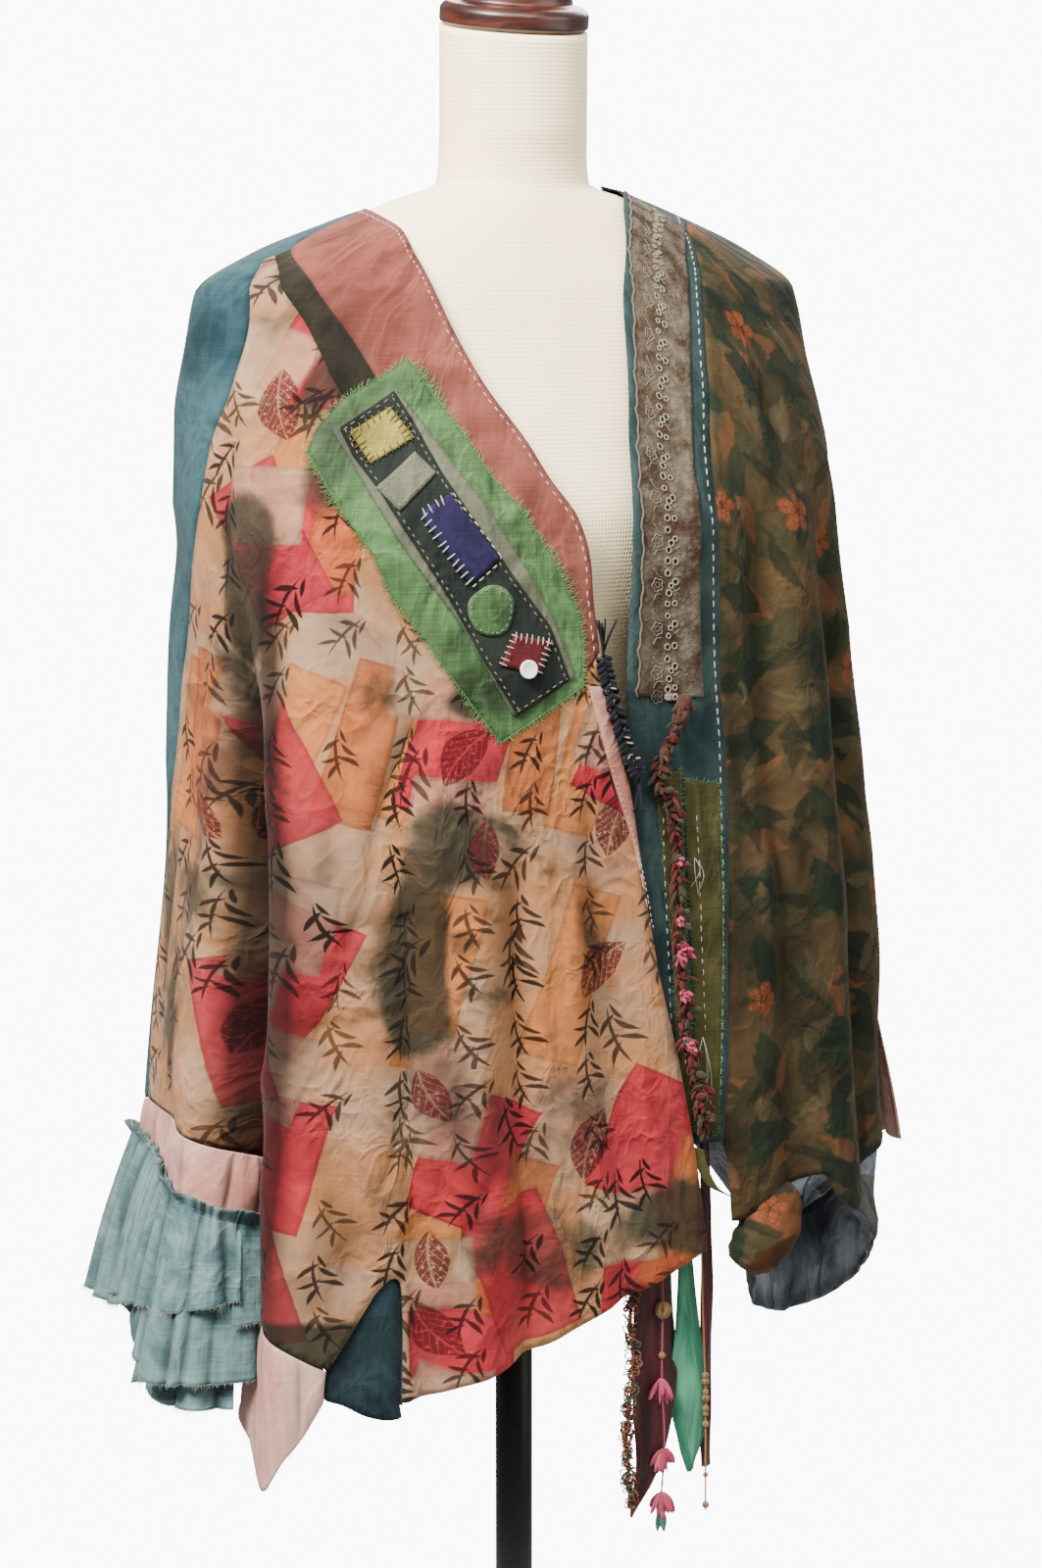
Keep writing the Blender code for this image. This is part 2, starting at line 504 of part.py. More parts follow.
def turned(name, profile, sides, foot, tilt, material_name):
    """A turned solid on a foot point, leaning forward by tilt."""
    lean = np.array(Matrix.Rotation(tilt, 3, "X"))
    turns = np.linspace(0, 2 * np.pi, sides, endpoint=False)
    ring = np.stack([np.cos(turns), np.sin(turns), 0 * turns], 1)
    rings = [(ring * r + (0, 0, h)) @ lean.T + foot for r, h in zip(profile["radius"], profile["height"])]
    return rings_solid(name, rings, material_name)


def resample(rows, count):
    """Smooth points through the rows of an array, even in row number."""
    rows = np.asarray(rows, float)
    at = np.linspace(0, len(rows) - 1, count)
    index = np.arange(len(rows), dtype=float)
    return np.stack([smooth_curve(index, column, at) for column in rows.T], 1)


def tube(name, path, radius, sides, material_name, flatten=1.0):
    """A round cord along a path, or an oval one where flatten is under 1."""
    path = np.asarray(path)
    ahead = np.gradient(path, axis=0)
    ahead /= np.linalg.norm(ahead, axis=1, keepdims=True)
    across = np.cross(ahead, (0, 1, 0))
    across /= np.linalg.norm(across, axis=1, keepdims=True)
    front = np.cross(across, ahead)
    radii = np.broadcast_to(radius, len(path))
    turns = np.linspace(0, 2 * np.pi, sides, endpoint=False) + np.pi / sides
    rings = [p + r * (np.outer(np.cos(turns), u) + flatten * np.outer(np.sin(turns), v))
             for p, r, u, v in zip(path, radii, across, front)]
    return rings_solid(name, rings, material_name)


# The dress form

def make_form():
    heights = TORSO["height"]
    turns = np.arange(0, 360, 360 / 24)
    rings = []
    for height, width, front, back, square in zip(*TORSO.values()):
        x, y, _ = oval(turns, width, width, front, back, square)
        rings.append(np.stack([x, y, np.full_like(x, height)], 1))
    lean = math.tan(NECK_TILT)
    neck = np.stack([NECK_RADIUS * -np.sin(np.radians(turns)), NECK_RADIUS * -np.cos(np.radians(turns))], 1)
    top = np.column_stack([neck, NECK_TOP + lean * neck[:, 1]])
    rings_solid("form_torso", [top] + rings, "cream_jersey")
    foot = np.array((0, 0, NECK_TOP + SEAM_GAP))
    turned("form_neck_cap", NECK_CAP, 24, foot, NECK_TILT, "mahogany")
    pole = {"radius": np.full(2, POLE_RADIUS), "height": np.array([0, heights[-1] - BASE_HEIGHT - 2 * SEAM_GAP])}
    turned("form_pole", pole, 16, np.array((0, 0, BASE_HEIGHT + SEAM_GAP)), 0, "black_iron")
    turned("form_base", FLOOR_BASE, 32, np.zeros(3), 0, "mahogany")


# The jacket

def outline(*runs):
    """One closed outline from runs of angle and height, with repeated places dropped."""
    places = []
    for run in runs:
        places += [place for place in run if not places or place != places[-1]]
    return places if places[0] != places[-1] else places[:-1]


def around(run):
    return tuple((angle + 360, height) for angle, height in run)


def make_right(skin):
    right = outline(RIGHT_STRIP_SEAM, RIGHT_BAND_SEAM[-1:], RIGHT_EDGE, RIGHT_HEM, RIGHT_ARCH, RIGHT_SLEEVE_FRONT,
                    RIGHT_OVERARM[::-1])
    panel("right_front", skin, right, 0, CLOTH, "print_cloth")
    panel("right_neck_band", skin, outline(RIGHT_NECK, RIGHT_BAND_SEAM[::-1]), 0, CLOTH, "rust_linen")
    panel("dark_strip", skin, outline(RIGHT_BAND_SEAM, RIGHT_STRIP_SEAM[::-1]), 0, CLOTH, "dark_linen")
    panel("right_facing", skin, FACING, CLOTH + PATCH_GAP, CLOTH + PATCH_GAP + PATCH_CLOTH, "pale_pink_linen", 0)

    def layer(level):
        low = CLOTH + PATCH_GAP + level * (PATCH_GAP + PATCH_CLOTH)
        return low, low + PATCH_CLOTH

    for name, places, level, material_name in PATCHES:
        panel(name, skin, places, *layer(level), material_name, 0)
    turns = np.radians(np.arange(0, 360, 30))
    disc = [(DISC_CENTRE[0] + DISC_RADIUS / ARC * math.cos(t), DISC_CENTRE[1] + DISC_RADIUS * math.sin(t)) for t in turns]
    panel("green_disc", skin, disc, *layer(3), "green_linen", 0)
    button = [(BUTTON_CENTRE[0] + BUTTON_RADIUS / ARC * math.cos(t), BUTTON_CENTRE[1] + BUTTON_RADIUS * math.sin(t))
              for t in turns]
    low = layer(4)[0]
    panel("white_button", skin, button, low, low + 0.0025, "white_shell", 0)


def make_back(skin):
    shoulder_right = (RIGHT_OVERARM[0], RIGHT_STRIP_SEAM[0], RIGHT_BAND_SEAM[0])
    shoulder_left = around((LEFT_NECK[0], LEFT_BAND_SEAM[0], LEFT_OVERARM[0]))
    back = outline(RIGHT_OVERARM[::-1], shoulder_right[1:], BACK_NECK, shoulder_left, around(LEFT_OVERARM),
                   LEFT_SLEEVE_BACK[::-1], BACK_HEM[::-1], RIGHT_BACK_ARCH[::-1], RIGHT_SLEEVE_BACK[::-1])
    panel("back_panel", skin, back, 0, CLOTH, "teal_linen")


def make_left(skin):
    under = -UNDERLAP * fade((skin.angles + 48) / 20)
    left = skin.moved(np.where(skin.angles < 60, under, 0))
    band = outline(LEFT_NECK, LEFT_BAND_SEAM[::-1])
    panel("left_band", left, band, 0, CLOTH, "dark_teal_linen")
    front = outline(LEFT_BAND_SEAM, LEFT_SLEEVE_FRONT, LEFT_OVERARM[::-1])
    panel("left_front", left, front, 0, CLOTH, "flower_cloth")
    low, high = CLOTH + PATCH_GAP, CLOTH + PATCH_GAP + PATCH_CLOTH
    panel("eyelet_trim", left, outline(TRIM_LEFT, TRIM_RIGHT[::-1]), low, high, "eyelet_lace", 0)
    panel("olive_patch", left, OLIVE_PATCH, low, high, "olive_linen", 0)
    panel("olive_patch_edge", left, OLIVE_EDGE, low, high, "olive_linen", 0)
    return left


def make_underarms(skin):
    """The right side panel folds over the underarm, from the front's arch to the back's. The left one is a plain wall."""
    front = skin.place(*np.transpose(RIGHT_ARCH), -UNDERARM_CLEAR)
    back = skin.place(*np.transpose(RIGHT_BACK_ARCH[::-1]), -UNDERARM_CLEAR)
    share = np.linspace(0, 1, 8)[:, None, None]
    middle = front * (1 - share) + back * share + np.sin(np.pi * share) * (-0.006, 0, 0.004)
    wall("right_underarm", middle, CLOTH, "teal_linen")
    rows = [np.stack([LEFT_UNDERARM["x"], LEFT_UNDERARM["y"],
                      LEFT_UNDERARM["foot"] + (LEFT_UNDERARM_TOP - LEFT_UNDERARM["foot"]) * lift], 1) for lift in (0, 0.5, 1)]
    wall("left_underarm", np.array(rows), CLOTH, "teal_linen")


def make_right_cuff(skin):
    run = np.array(RIGHT_SLEEVE_FRONT + RIGHT_SLEEVE_BACK[1:])
    fine = np.linspace(run[0, 0], run[-1, 0], 2000)
    seam = np.interp(fine, *run.T)
    seam = seam - 2 * SEAM_GAP * np.sqrt(1 + np.gradient(seam, fine * ARC) ** 2)
    corners = np.clip(np.searchsorted(fine, run[:, 0]), 0, len(fine) - 1)
    at = np.unique(np.concatenate([skin.bends(fine, seam), corners]))
    at = at[np.append(True, np.diff(at) > 3)]
    angles, tops = fine[at], seam[at]
    depths = np.interp(angles, CUFF_DEPTH["angle"], CUFF_DEPTH["depth"])
    rows, normals = [], []
    for share in (0, 0.5, 1):
        outer = skin.place(angles, tops - depths * share, CLOTH / 2 - 0.001 * share)
        normals.append(skin.place(angles, tops - depths * share, 1.0) - skin.place(angles, tops - depths * share))
        back, front = outer[-1], outer[0]
        steps = np.linspace(0, 1, 8)[1:-1, None]
        inner = back * (1 - steps) + front * steps + np.sin(np.pi * steps) * (-0.008, 0, 0)
        rows.append(np.concatenate([outer, inner]))
    wall("right_cuff_band", np.array(rows), 0.0016, "pale_pink_linen", True, np.array(normals))

    for name, column, lift in (("right_ruffle_long", "long", 0.0032), ("right_ruffle_short", "short", 0.0090)):
        angle = np.linspace(RUFFLE_TOP["angle"][0], RUFFLE_TOP["angle"][-1], RUFFLE_PLEATS * 4 + 1)
        top = np.interp(angle, RUFFLE_TOP["angle"], RUFFLE_TOP["height"]) + (0.004 if column == "short" else 0)
        drop = np.interp(angle, RUFFLE_DROP["angle"], RUFFLE_DROP[column])
        wave = np.sin(2 * np.pi * np.arange(len(angle)) / 4)
        rows = []
        for share in (0, 0.3, 0.65, 1):
            flare = 0.026 * share * drop / 0.1
            ripple = wave * (0.0010 + 0.0050 * share ** 0.7) + 0.0040 * share ** 0.7
            if column == "short":
                ripple = ripple + 0.0012 * share
            rows.append(skin.place(angle, top - drop * share, lift + flare + ripple))
        wall(name, np.array(rows), 0.0012, "teal_linen")


def make_left_cuff(skin, left):
    sleeve = skin.angles[(skin.angles <= -48) & (skin.angles >= -98)][::-1]
    front = left.place(sleeve, LEFT_CUFF_TOP, -0.8 * CLOTH)
    back = skin.place(np.arange(255, 236, -7.0), LEFT_CUFF_TOP, -0.8 * CLOTH)
    wall_side = np.stack([LEFT_UNDERARM["x"] + 0.004, LEFT_UNDERARM["y"], 0 * LEFT_UNDERARM["x"] + LEFT_CUFF_TOP], 1)
    top = np.concatenate([front, back, wall_side[-2:0:-1]])
    turn = np.arctan2(top[:, 0] - LEFT_CUFF_CENTRE[0], LEFT_CUFF_CENTRE[1] - top[:, 1])
    ends = np.interp(np.degrees(turn) % 360, LEFT_CUFF_END["turn"], LEFT_CUFF_END["height"])
    rows = []
    for share in np.linspace(0, 1, 6):
        gather = fade(share * 1.2)
        crease = 1 + 0.04 * np.sin(turn * 7) * share
        x = LEFT_CUFF_CENTRE[0] + LEFT_CUFF_RADII[0] * crease * np.sin(turn)
        y = LEFT_CUFF_CENTRE[1] - LEFT_CUFF_RADII[1] * crease * np.cos(turn)
        cup = np.stack([x, y, LEFT_CUFF_TOP + (ends - LEFT_CUFF_TOP) * share], 1)
        rows.append(top * (1 - gather) * (1, 1, 0) + cup * (gather, gather, 1))
    wall("left_cuff", np.array(rows), 0.0016, "grey_teal_cotton", wraps=True)
    rows = resample(np.stack(list(LEFT_ROLL.values()), 1), 9)
    tube("left_cuff_roll", left.place(rows[:, 0], rows[:, 1], CLOTH / 2), rows[:, 2], 10, "flower_cloth")
    angle = np.linspace(-76, -92, 17)
    wave = np.sin(2 * np.pi * np.arange(17) / 4)
    rows = [left.place(angle, 0.795 - 0.12 * share, 0.0036 + 0.013 * share + wave * (0.0005 + 0.003 * share))
            for share in (0, 0.35, 0.7, 1)]
    wall("left_cuff_frill", np.array(rows), 0.0012, "pale_pink_linen")


def make_ties(skin, left):
    front = skin.angles[np.abs(skin.angles) < 48]

    def behind(carrier, line, out):
        """Rows of a hanging line as x, y, z and any half width, its first row behind what carries it."""
        rows = resample(np.stack(list(line.values()), 1), 9)
        x, z = rows[0, :2]
        angle = np.interp(-x, -carrier.place(front, 0 * front + z)[:, 0], front)
        y = carrier.place(angle, z, -out)[1]
        return np.column_stack([rows[:, 0], y - rows[:, 2], rows[:, 1], rows[:, 3:]])

    for name, side, room, line in RIBBONS:
        rows = behind(left if side == "left" else skin, line, room)
        across = np.array((-1, 0, 1))
        x = rows[:, :1] + rows[:, 3:] * across
        y = rows[:, 1:2] - 0.002 * (1 - across ** 2) + 0 * x
        wall(name, np.stack([x, y, rows[:, 2:3] + 0 * x], -1), RIBBON_CLOTH, name.split("_")[0] + "_silk")
    for name, material_name, radius, line in CORDS:
        tube(name, behind(skin, line, radius + PATCH_GAP), radius, 6, material_name)
    low = CLOTH + 2 * PATCH_GAP + PATCH_CLOTH
    rows = resample(np.stack(list(YARN_BRAID.values()), 1), 22)
    tube("yarn_braid", left.place(*rows.T, low + 0.0045), 0.0088, 8, "rust_yarn", 0.45)
    rows = resample(np.stack(list(NAVY_BRAID.values()), 1), 9)
    tube("navy_braid", skin.place(*rows.T, low + 0.0042), 0.0066, 8, "navy_yarn", 0.6)
    rows = resample(np.stack(list(OLIVE_TIE.values()), 1), 8)
    middle = np.stack([left.place(rows[:, 0] + side * rows[:, 2] / ARC, rows[:, 1] + 0.3 * side * rows[:, 2],
                                  low + 0.0016) for side in (-1, 0, 1)], 1)
    wall("olive_tie", middle, 0.0012, "olive_linen")


def main():
    for old in list(bpy.data.objects):
        bpy.data.objects.remove(old, do_unlink=True)
    make_form()
    skin = make_skin()
    make_right(skin)
    make_back(skin)
    left = make_left(skin)
    make_underarms(skin)
    make_right_cuff(skin)
    make_left_cuff(skin, left)
    make_ties(skin, left)


main()
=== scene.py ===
"""Patchwork jacket on a limbless dress form: the looks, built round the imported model.

Metres, +Z up. The jacket faces -Y, so the wearer's right is -X. A place on the cloth is an angle in degrees
round the body (0 at the front, 90 at the wearer's right, 180 at the back) and a height above the floor.
Sheets are cut from one folded surface over angle and height, so neighbours meet along the same seam line.
"""

import math
from functools import partialmethod, reduce

import bpy
import numpy as np
from bpy.props import FloatProperty, FloatVectorProperty, PointerProperty
from mathutils import Matrix


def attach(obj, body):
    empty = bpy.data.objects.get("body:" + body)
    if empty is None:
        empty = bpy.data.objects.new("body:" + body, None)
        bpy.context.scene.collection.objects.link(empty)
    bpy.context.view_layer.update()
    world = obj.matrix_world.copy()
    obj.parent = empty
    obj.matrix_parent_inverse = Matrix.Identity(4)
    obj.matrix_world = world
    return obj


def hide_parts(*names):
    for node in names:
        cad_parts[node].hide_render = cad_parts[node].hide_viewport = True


bl_info = {
    "name": "Patchwork jacket",
    "version": (1, 0, 0),
    "blender": (4, 5, 0),
    "location": "View3D > Sidebar > Jacket",
    "description": "Builds a patchwork jacket on its dress form, piece by piece",
    "category": "Add Mesh",
}

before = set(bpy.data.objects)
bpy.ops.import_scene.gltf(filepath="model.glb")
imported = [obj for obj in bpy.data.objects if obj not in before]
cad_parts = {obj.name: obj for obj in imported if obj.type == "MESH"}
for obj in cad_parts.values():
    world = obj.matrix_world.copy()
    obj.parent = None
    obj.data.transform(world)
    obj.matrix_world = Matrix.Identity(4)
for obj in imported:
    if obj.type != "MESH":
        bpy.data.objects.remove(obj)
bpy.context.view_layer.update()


# Sizes and colours that a user would change

# Each dyed cloth: where it is, its deep colour and its faded one, as screen colours from 0 to 255. The faded
# one is also painted on crumples as highlight and along silk's ripples as sheen.
CLOTH_COLOURS = {
    "rust_linen": ("right neckline band", (118, 58, 52), (172, 100, 86)),
    "teal_linen": ("back and left side panel", (30, 60, 72), (72, 110, 118)),
    "ruffle_linen": ("right ruffles", (64, 106, 112), (148, 184, 184)),
    # A darker copy of the teal linen: painted shade under the right arm.
    "side_linen": ("right side panel", (14, 24, 40), (50, 76, 84)),
    "dark_linen": ("strip under the small patches", (20, 30, 32), (50, 58, 52)),
    "strip_linen": ("strip beside the neckline band", (26, 25, 20), (62, 56, 44)),
    "pale_pink_linen": ("right facing", (214, 130, 118), (244, 184, 166)),
    "cuff_linen": ("right cuff and left frill", (236, 158, 142), (255, 214, 200)),
    "green_linen": ("frayed patch and disc", (50, 74, 40), (110, 156, 98)),
    "sage_linen": ("sage patches", (92, 98, 80), (136, 138, 116)),
    "yellow_linen": ("yellow patch", (158, 148, 54), (214, 204, 110)),
    "purple_linen": ("purple patch", (32, 26, 62), (56, 48, 94)),
    "dark_red_linen": ("red patch", (80, 22, 30), (116, 42, 50)),
    "dark_teal_linen": ("left band", (32, 56, 58), (68, 92, 92)),
    "olive_linen": ("olive strips and tie", (58, 60, 30), (100, 96, 54)),
    "grey_teal_cotton": ("left cuff", (62, 72, 72), (130, 136, 132)),
    "lining_cotton": ("left cuff's inside", (88, 100, 116), (186, 198, 212)),
    "flower_cloth": ("left front's ground", (60, 56, 38), (98, 78, 50)),
    "roll_cloth": ("left cuff's roll", (58, 42, 28), (108, 62, 32)),
    "maroon_silk": ("maroon ribbons", (58, 18, 26), (112, 44, 50)),
    "green_silk": ("green ribbon", (40, 128, 96), (108, 196, 156)),
}


def length(name, description, default):
    return FloatProperty(name=name, description=description, default=default, min=0, precision=4,
        unit="LENGTH")


def dye(cloth, side):
    place, *colours = CLOTH_COLOURS[cloth]
    colour = colours[side == "pale"]
    return FloatVectorProperty(name=f"{cloth} {side}".replace("_", " ").capitalize(),
        description=f"The {side} colour of the {place}", subtype="COLOR_GAMMA", size=3, min=0, max=1,
        default=[part / 255 for part in colour])


class JACKET_PG_sizes(bpy.types.PropertyGroup):
    cloth_step: length("Cloth step", "Side of the squares that the large panels are cut into", 0.0046)
    wall: length("Cloth thickness", "Wall of the worn cloth", 0.0011)
    neckline_pitch: length("Neckline stitch", "From one neckline stitch to the next", 0.0078)
    band_pitch: length("Band stitch", "From one stitch of the left band to the next", 0.0084)
    green_fray: length("Green fray", "Longest frayed threads of the green patch", 0.0085)
    pleat_pitch: length("Ruffle pleat", "Width of a ruffle's pleat", 0.0165)
    scallop_pitch: length("Scallop", "Width of a scallop along the lace", 0.0285)
    eyelet_radius: length("Eyelet", "Radius of the lace's larger eyelets", 0.0022)
    tuft_length: length("Tuft", "Longest petals of the hanging pink tufts", 0.014)
    pole_radius: length("Pole", "Radius of the form's pole", 0.014)
    lean: FloatProperty(name="Neck cap's lean", description="How far the neck's top leans forward",
        subtype="ANGLE", default=math.radians(8))


class JACKET_PG_colours(bpy.types.PropertyGroup):
    __annotations__ = {f"{cloth}_{side}": dye(cloth, side) for cloth in CLOTH_COLOURS
        for side in ("deep", "pale")}


def sizes():
    return bpy.context.scene.jacket_sizes


# Sizes shared with the solids

UNDERLAP = 0.006  # how far the left front lies under the right one
CLOTH_TOP = 0.0018  # the worn cloth's outer face above the solids' inner one
PATCH_STEP = 0.0011  # from one applied layer to the next
NECK_TOP = 1.512


# Columns that hold degrees, shares or powers. All others are in millimetres.
PLAIN_COLUMNS = ("angle", "top_angle", "low_angle", "turn", "degrees", "square", "strong", "dark")


def table(columns, *rows):
    """The rows as one array for each named column, in metres where it is a size."""
    return {name: np.array(values) / (1 if name in PLAIN_COLUMNS else 1000)
        for name, values in zip(columns.split(), zip(*rows))}


def marks(*rows):
    """Marks on the cloth as angles and heights, from rows whose heights are in millimetres."""
    return tuple((angle, height / 1000) for angle, height in rows)


# The unfolded cloth: half widths to each side, depths to the front and back, and how square the section is
BODY = table(
    "height right left front back square",
    (1402, 62, 62, 55, 66, 2),
    (1392, 94, 92, 60, 76, 2),
    (1378, 129, 130, 67, 84, 2.05),
    (1352, 200, 191, 79, 94, 2.1),
    (1326, 241, 226, 91, 102, 2.2),
    (1290, 246, 229, 106, 110, 2.3),
    (1240, 254, 235, 127, 117, 2.45),
    (1160, 255, 239, 150, 121, 2.7),
    (1060, 255, 250, 153, 119, 2.9),
    (960, 257, 265, 156, 122, 3),
    (860, 265, 269, 160, 127, 3.1),
    (760, 274, 275, 164, 132, 3.1),
    (640, 286, 284, 168, 138, 3.1),
    (420, 290, 288, 172, 142, 3.1),
)

# Folds run from a top to a low point. A positive depth is a trough, a negative one a ridge.
FOLDS = table(
    "top_angle top_height low_angle low_height degrees depth fade",
    (75, 1190, 69, 400, 3.6, 50, 300),
    (62, 1060, 61, 400, 5.5, -13, 200),
    (81, 1100, 80, 400, 5, -8, 200),
    (49, 1030, 43, 400, 3.2, 10, 160),
    (37, 1000, 33, 400, 3.5, -7, 160),
    (28, 1010, 24, 400, 3.2, 9, 160),
    (10, 1040, -4, 500, 3.5, 6, 160),
    (-42, 1270, -44, 400, 3.2, 10, 160),
    (-51, 1270, -53, 400, 4, -8, 160),
    (-60, 1240, -63, 400, 3.5, 14, 200),
    (128, 1300, 126, 400, 6, 14, 200),
    (157, 1340, 154, 400, 6, 11, 200),
    (181, 1360, 184, 400, 7, 14, 200),
    (206, 1340, 209, 400, 6, 11, 200),
    (233, 1300, 236, 400, 6, 14, 200),
)

# Large olive stains on the print: middle, half sizes along the cloth, and strength
STAINS = table(
    "angle height wide tall strong",
    (46, 873, 28, 50, 0.95),
    (41, 966, 34, 40, 0.75),
    (66, 1275, 20, 40, 0.7),
    (61, 615, 45, 22, 1),
    (-16, 665, 45, 30, 0.85),
    (75, 1115, 20, 45, 0.75),
    (53, 1060, 24, 30, 0.55),
    (25, 660, 40, 25, 0.6),
    (8, 905, 18, 40, 0.5),
    (61, 1232, 20, 32, 0.9),
    (35, 1054, 34, 18, 0.85),
    (50, 1268, 30, 10, 0.6),
)

# Smaller creases, in the same signs. Width and bow are along the cloth.
CREASES = table(
    "top_angle top_height low_angle low_height width depth bow",
    (66, 1150, 67, 975, 11, 3.5, 6),
    (60, 1162, 64, 1019, 10, -3, -5),
    (43, 1055, 55, 938, 10, 5, 10),
    (55, 938, 62.5, 796, 11, 4.5, -6),
    (50, 1040, 58, 900, 9, -3.8, 8),
    (32, 1015, 41, 832, 11, 4.2, 12),
    (44, 1018, 49.5, 891, 8, -3.4, -6),
    (21, 1005, 27, 797, 9, 3.4, 8),
    (15, 990, 17, 740, 10, -3, -10),
    (10, 976, 4.5, 753, 8, 3.6, 6),
    (1, 930, -6, 677, 9, 4, 8),
    (54, 640, 63, 775, 8, 4.8, 6),
    (49.5, 655, 49, 780, 7, 4.2, -4),
    (45.8, 646, 38, 805, 8, 4.6, 6),
    (41, 608, 31, 740, 10, 4.2, -6),
    (48, 700, 56, 760, 8, -3.6, 4),
    (63, 884, 42, 898, 9, 2.8, -12),
    (66, 838, 46, 847, 8, 2.4, 8),
    (79, 1335, 65.5, 1200, 11, 4, 10),
    (80, 1285, 79.8, 1100, 10, 3.6, -8),
    (77, 1185, 86, 1000, 11, 4, 8),
    (82, 1011, 89, 830, 10, 4, -6),
    (85, 930, 83, 770, 9, -3.4, 6),
    (93, 960, 95, 770, 9, 4, 6),
    (24, 775, 11.5, 640, 9, 3.6, 6),
    (34.5, 760, 27, 610, 8, -3.4, -4),
    (-60, 1290, -52, 1150, 7, 4, 4),
    (-41, 960, -41.5, 828, 9, -5, 6),
    (-41.5, 828, -54, 713, 10, 5, -8),
    (-50, 970, -50, 810, 9, 4.6, 6),
    (-35, 1090, -36, 970, 8, 3.6, 5),
    (-63, 1130, -66, 920, 11, 4.6, 8),
    (-59, 1300, -41, 1140, 10, 4, -10),
    (-33, 939, -32, 770, 7, 3, 3),
    (-61, 880, -60, 735, 9, 4.4, -6),
    (-47, 1130, -50, 975, 10, -4.6, 8),
    (-72, 1230, -78, 1010, 12, 5, 10),
    (-82, 1060, -86, 820, 12, 5, -8),
    (-74, 960, -72, 760, 11, -4.4, 6),
    (108, 1240, 112, 960, 12, 5, 10),
    (114, 1010, 108, 780, 11, -4.6, -8),
    (140, 1300, 136, 1060, 12, 4.6, 12),
    (143, 1000, 147, 700, 11, 5, -10),
    (169, 1330, 166, 1080, 12, 4, 8),
    (171, 960, 176, 640, 12, 5, 10),
    (195, 1280, 192, 1000, 11, -4, -8),
    (197, 930, 193, 680, 12, 4.8, 10),
    (219, 1310, 222, 1040, 12, 4.6, -10),
    (224, 980, 219, 740, 11, 5, 8),
    (247, 1250, 250, 980, 12, 5, 10),
    (251, 920, 246, 740, 11, -4.4, -8),
)

# Painted shadow: darkest down the fold beside the sleeve, and in a few more places
SHADOWS = table(
    "top_angle top_height low_angle low_height width dark bow",
    (77, 1170, 74, 590, 12, 1.3, 0),
    (71, 1200, 65, 800, 10, 1.4, 0),
    (64.8, 1000, 65.6, 560, 12, 1.6, 0),
    (56, 1050, 62, 780, 9, 0.45, 8),
    (50, 720, 62, 610, 12, 0.55, 6),
    (27, 980, 33, 700, 7, 0.32, 6),
    (42, 860, 36, 640, 9, 0.35, -6),
    (-34, 1060, -35, 760, 8, 0.45, 4),
    (-47, 1000, -52, 700, 11, 0.5, 6),
    (-44, 1280, -49, 1020, 9, 0.4, -6),
    (-42, 1352, -88, 1300, 26, 0.45, 0),
)

# Seam lines, each a run of angle and height from the shoulder down
RIGHT_NECK = marks((92.5, 1384), (80, 1380), (67, 1370), (59, 1352), (53.2, 1334), (43.5, 1294),
    (34.8, 1262), (26.3, 1234), (18.5, 1204), (10.8, 1174), (8.6, 1150), (8, 1126), (6, 1082))
RIGHT_BAND_SEAM = marks((83.4, 1356), (77.8, 1346), (73.5, 1336), (67.2, 1311), (58.5, 1272), (44, 1210),
    (29, 1143), (10.8, 1062))
RIGHT_STRIP_SEAM = marks((84.6, 1352), (80, 1343), (76.2, 1330), (72.2, 1312), (64, 1266), (49, 1203),
    (34, 1132), (12.8, 1050))
RIGHT_OVERARM = marks((86, 1350), (82.6, 1340), (80, 1322), (79.3, 1300), (80, 1262), (83, 1221),
    (85.2, 1173), (88, 1125), (92.8, 1053), (95.8, 981), (99, 922), (101, 863), (101, 798), (100.5, 748))
RIGHT_EDGE = marks((6, 1082), (5, 1058), (-3, 987), (-6, 938), (-8.5, 888), (-11, 845), (-15.5, 787),
    (-19, 728), (-20.8, 684), (-22.2, 644))
RIGHT_HEM = marks((-22.2, 644), (-0.8, 617), (20, 594), (34.8, 576), (47.3, 561))
RIGHT_ARCH = marks((47.3, 561), (47.2, 605), (47.7, 648), (49, 654), (50.8, 648), (52.8, 633), (54.9, 615),
    (57.6, 593))
RIGHT_SLEEVE_FRONT = marks((57.6, 593), (62, 607), (67.8, 625), (69.2, 660), (70.6, 704), (73.5, 728),
    (78.8, 742), (88, 747), (100.5, 748))
SIDE_FOLD = marks((57.6, 593), (57.9, 574), (55.4, 566), (52.2, 556), (49.5, 552), (47, 551))
RIGHT_SLEEVE_BACK = marks((100.5, 748), (109, 735), (117, 700), (125, 600))
RIGHT_BACK_ARCH = marks((125, 600), (125.3, 620), (127, 644), (129, 656), (131.5, 655), (134, 648),
    (134.3, 605), (134.4, 560))
BACK_HEM = marks((134.4, 560), (150, 568), (165, 582), (180, 600), (195, 624), (210, 656), (226, 690))
LEFT_SLEEVE_BACK = marks((226, 690), (231, 672), (238, 660), (250, 672), (262, 690))
BACK_NECK = marks((92.5, 1384), (106, 1375), (125, 1370), (150, 1369), (180, 1373), (215, 1383),
    (245, 1392), (276, 1400))
LEFT_NECK = marks((-84, 1400), (-60, 1393), (-45.8, 1383), (-34, 1353), (-25.5, 1326), (-17, 1275),
    (-10, 1225), (-6.5, 1170), (-5, 1125), (-3.2, 1056), (-3, 990), (-3, 850), (-5, 722))
LEFT_BAND_SEAM = marks((-78, 1376), (-67.8, 1369), (-52.5, 1325), (-40.5, 1256), (-31.8, 1176),
    (-31.8, 1092), (-32, 1022), (-31.3, 909), (-29.2, 767), (-27.5, 721))
LEFT_OVERARM = marks((-81, 1351), (-87, 1312), (-90, 1262), (-91.5, 1221), (-92.5, 1160), (-94, 1070),
    (-95.5, 980), (-97, 880), (-98, 780), (-98, 690))
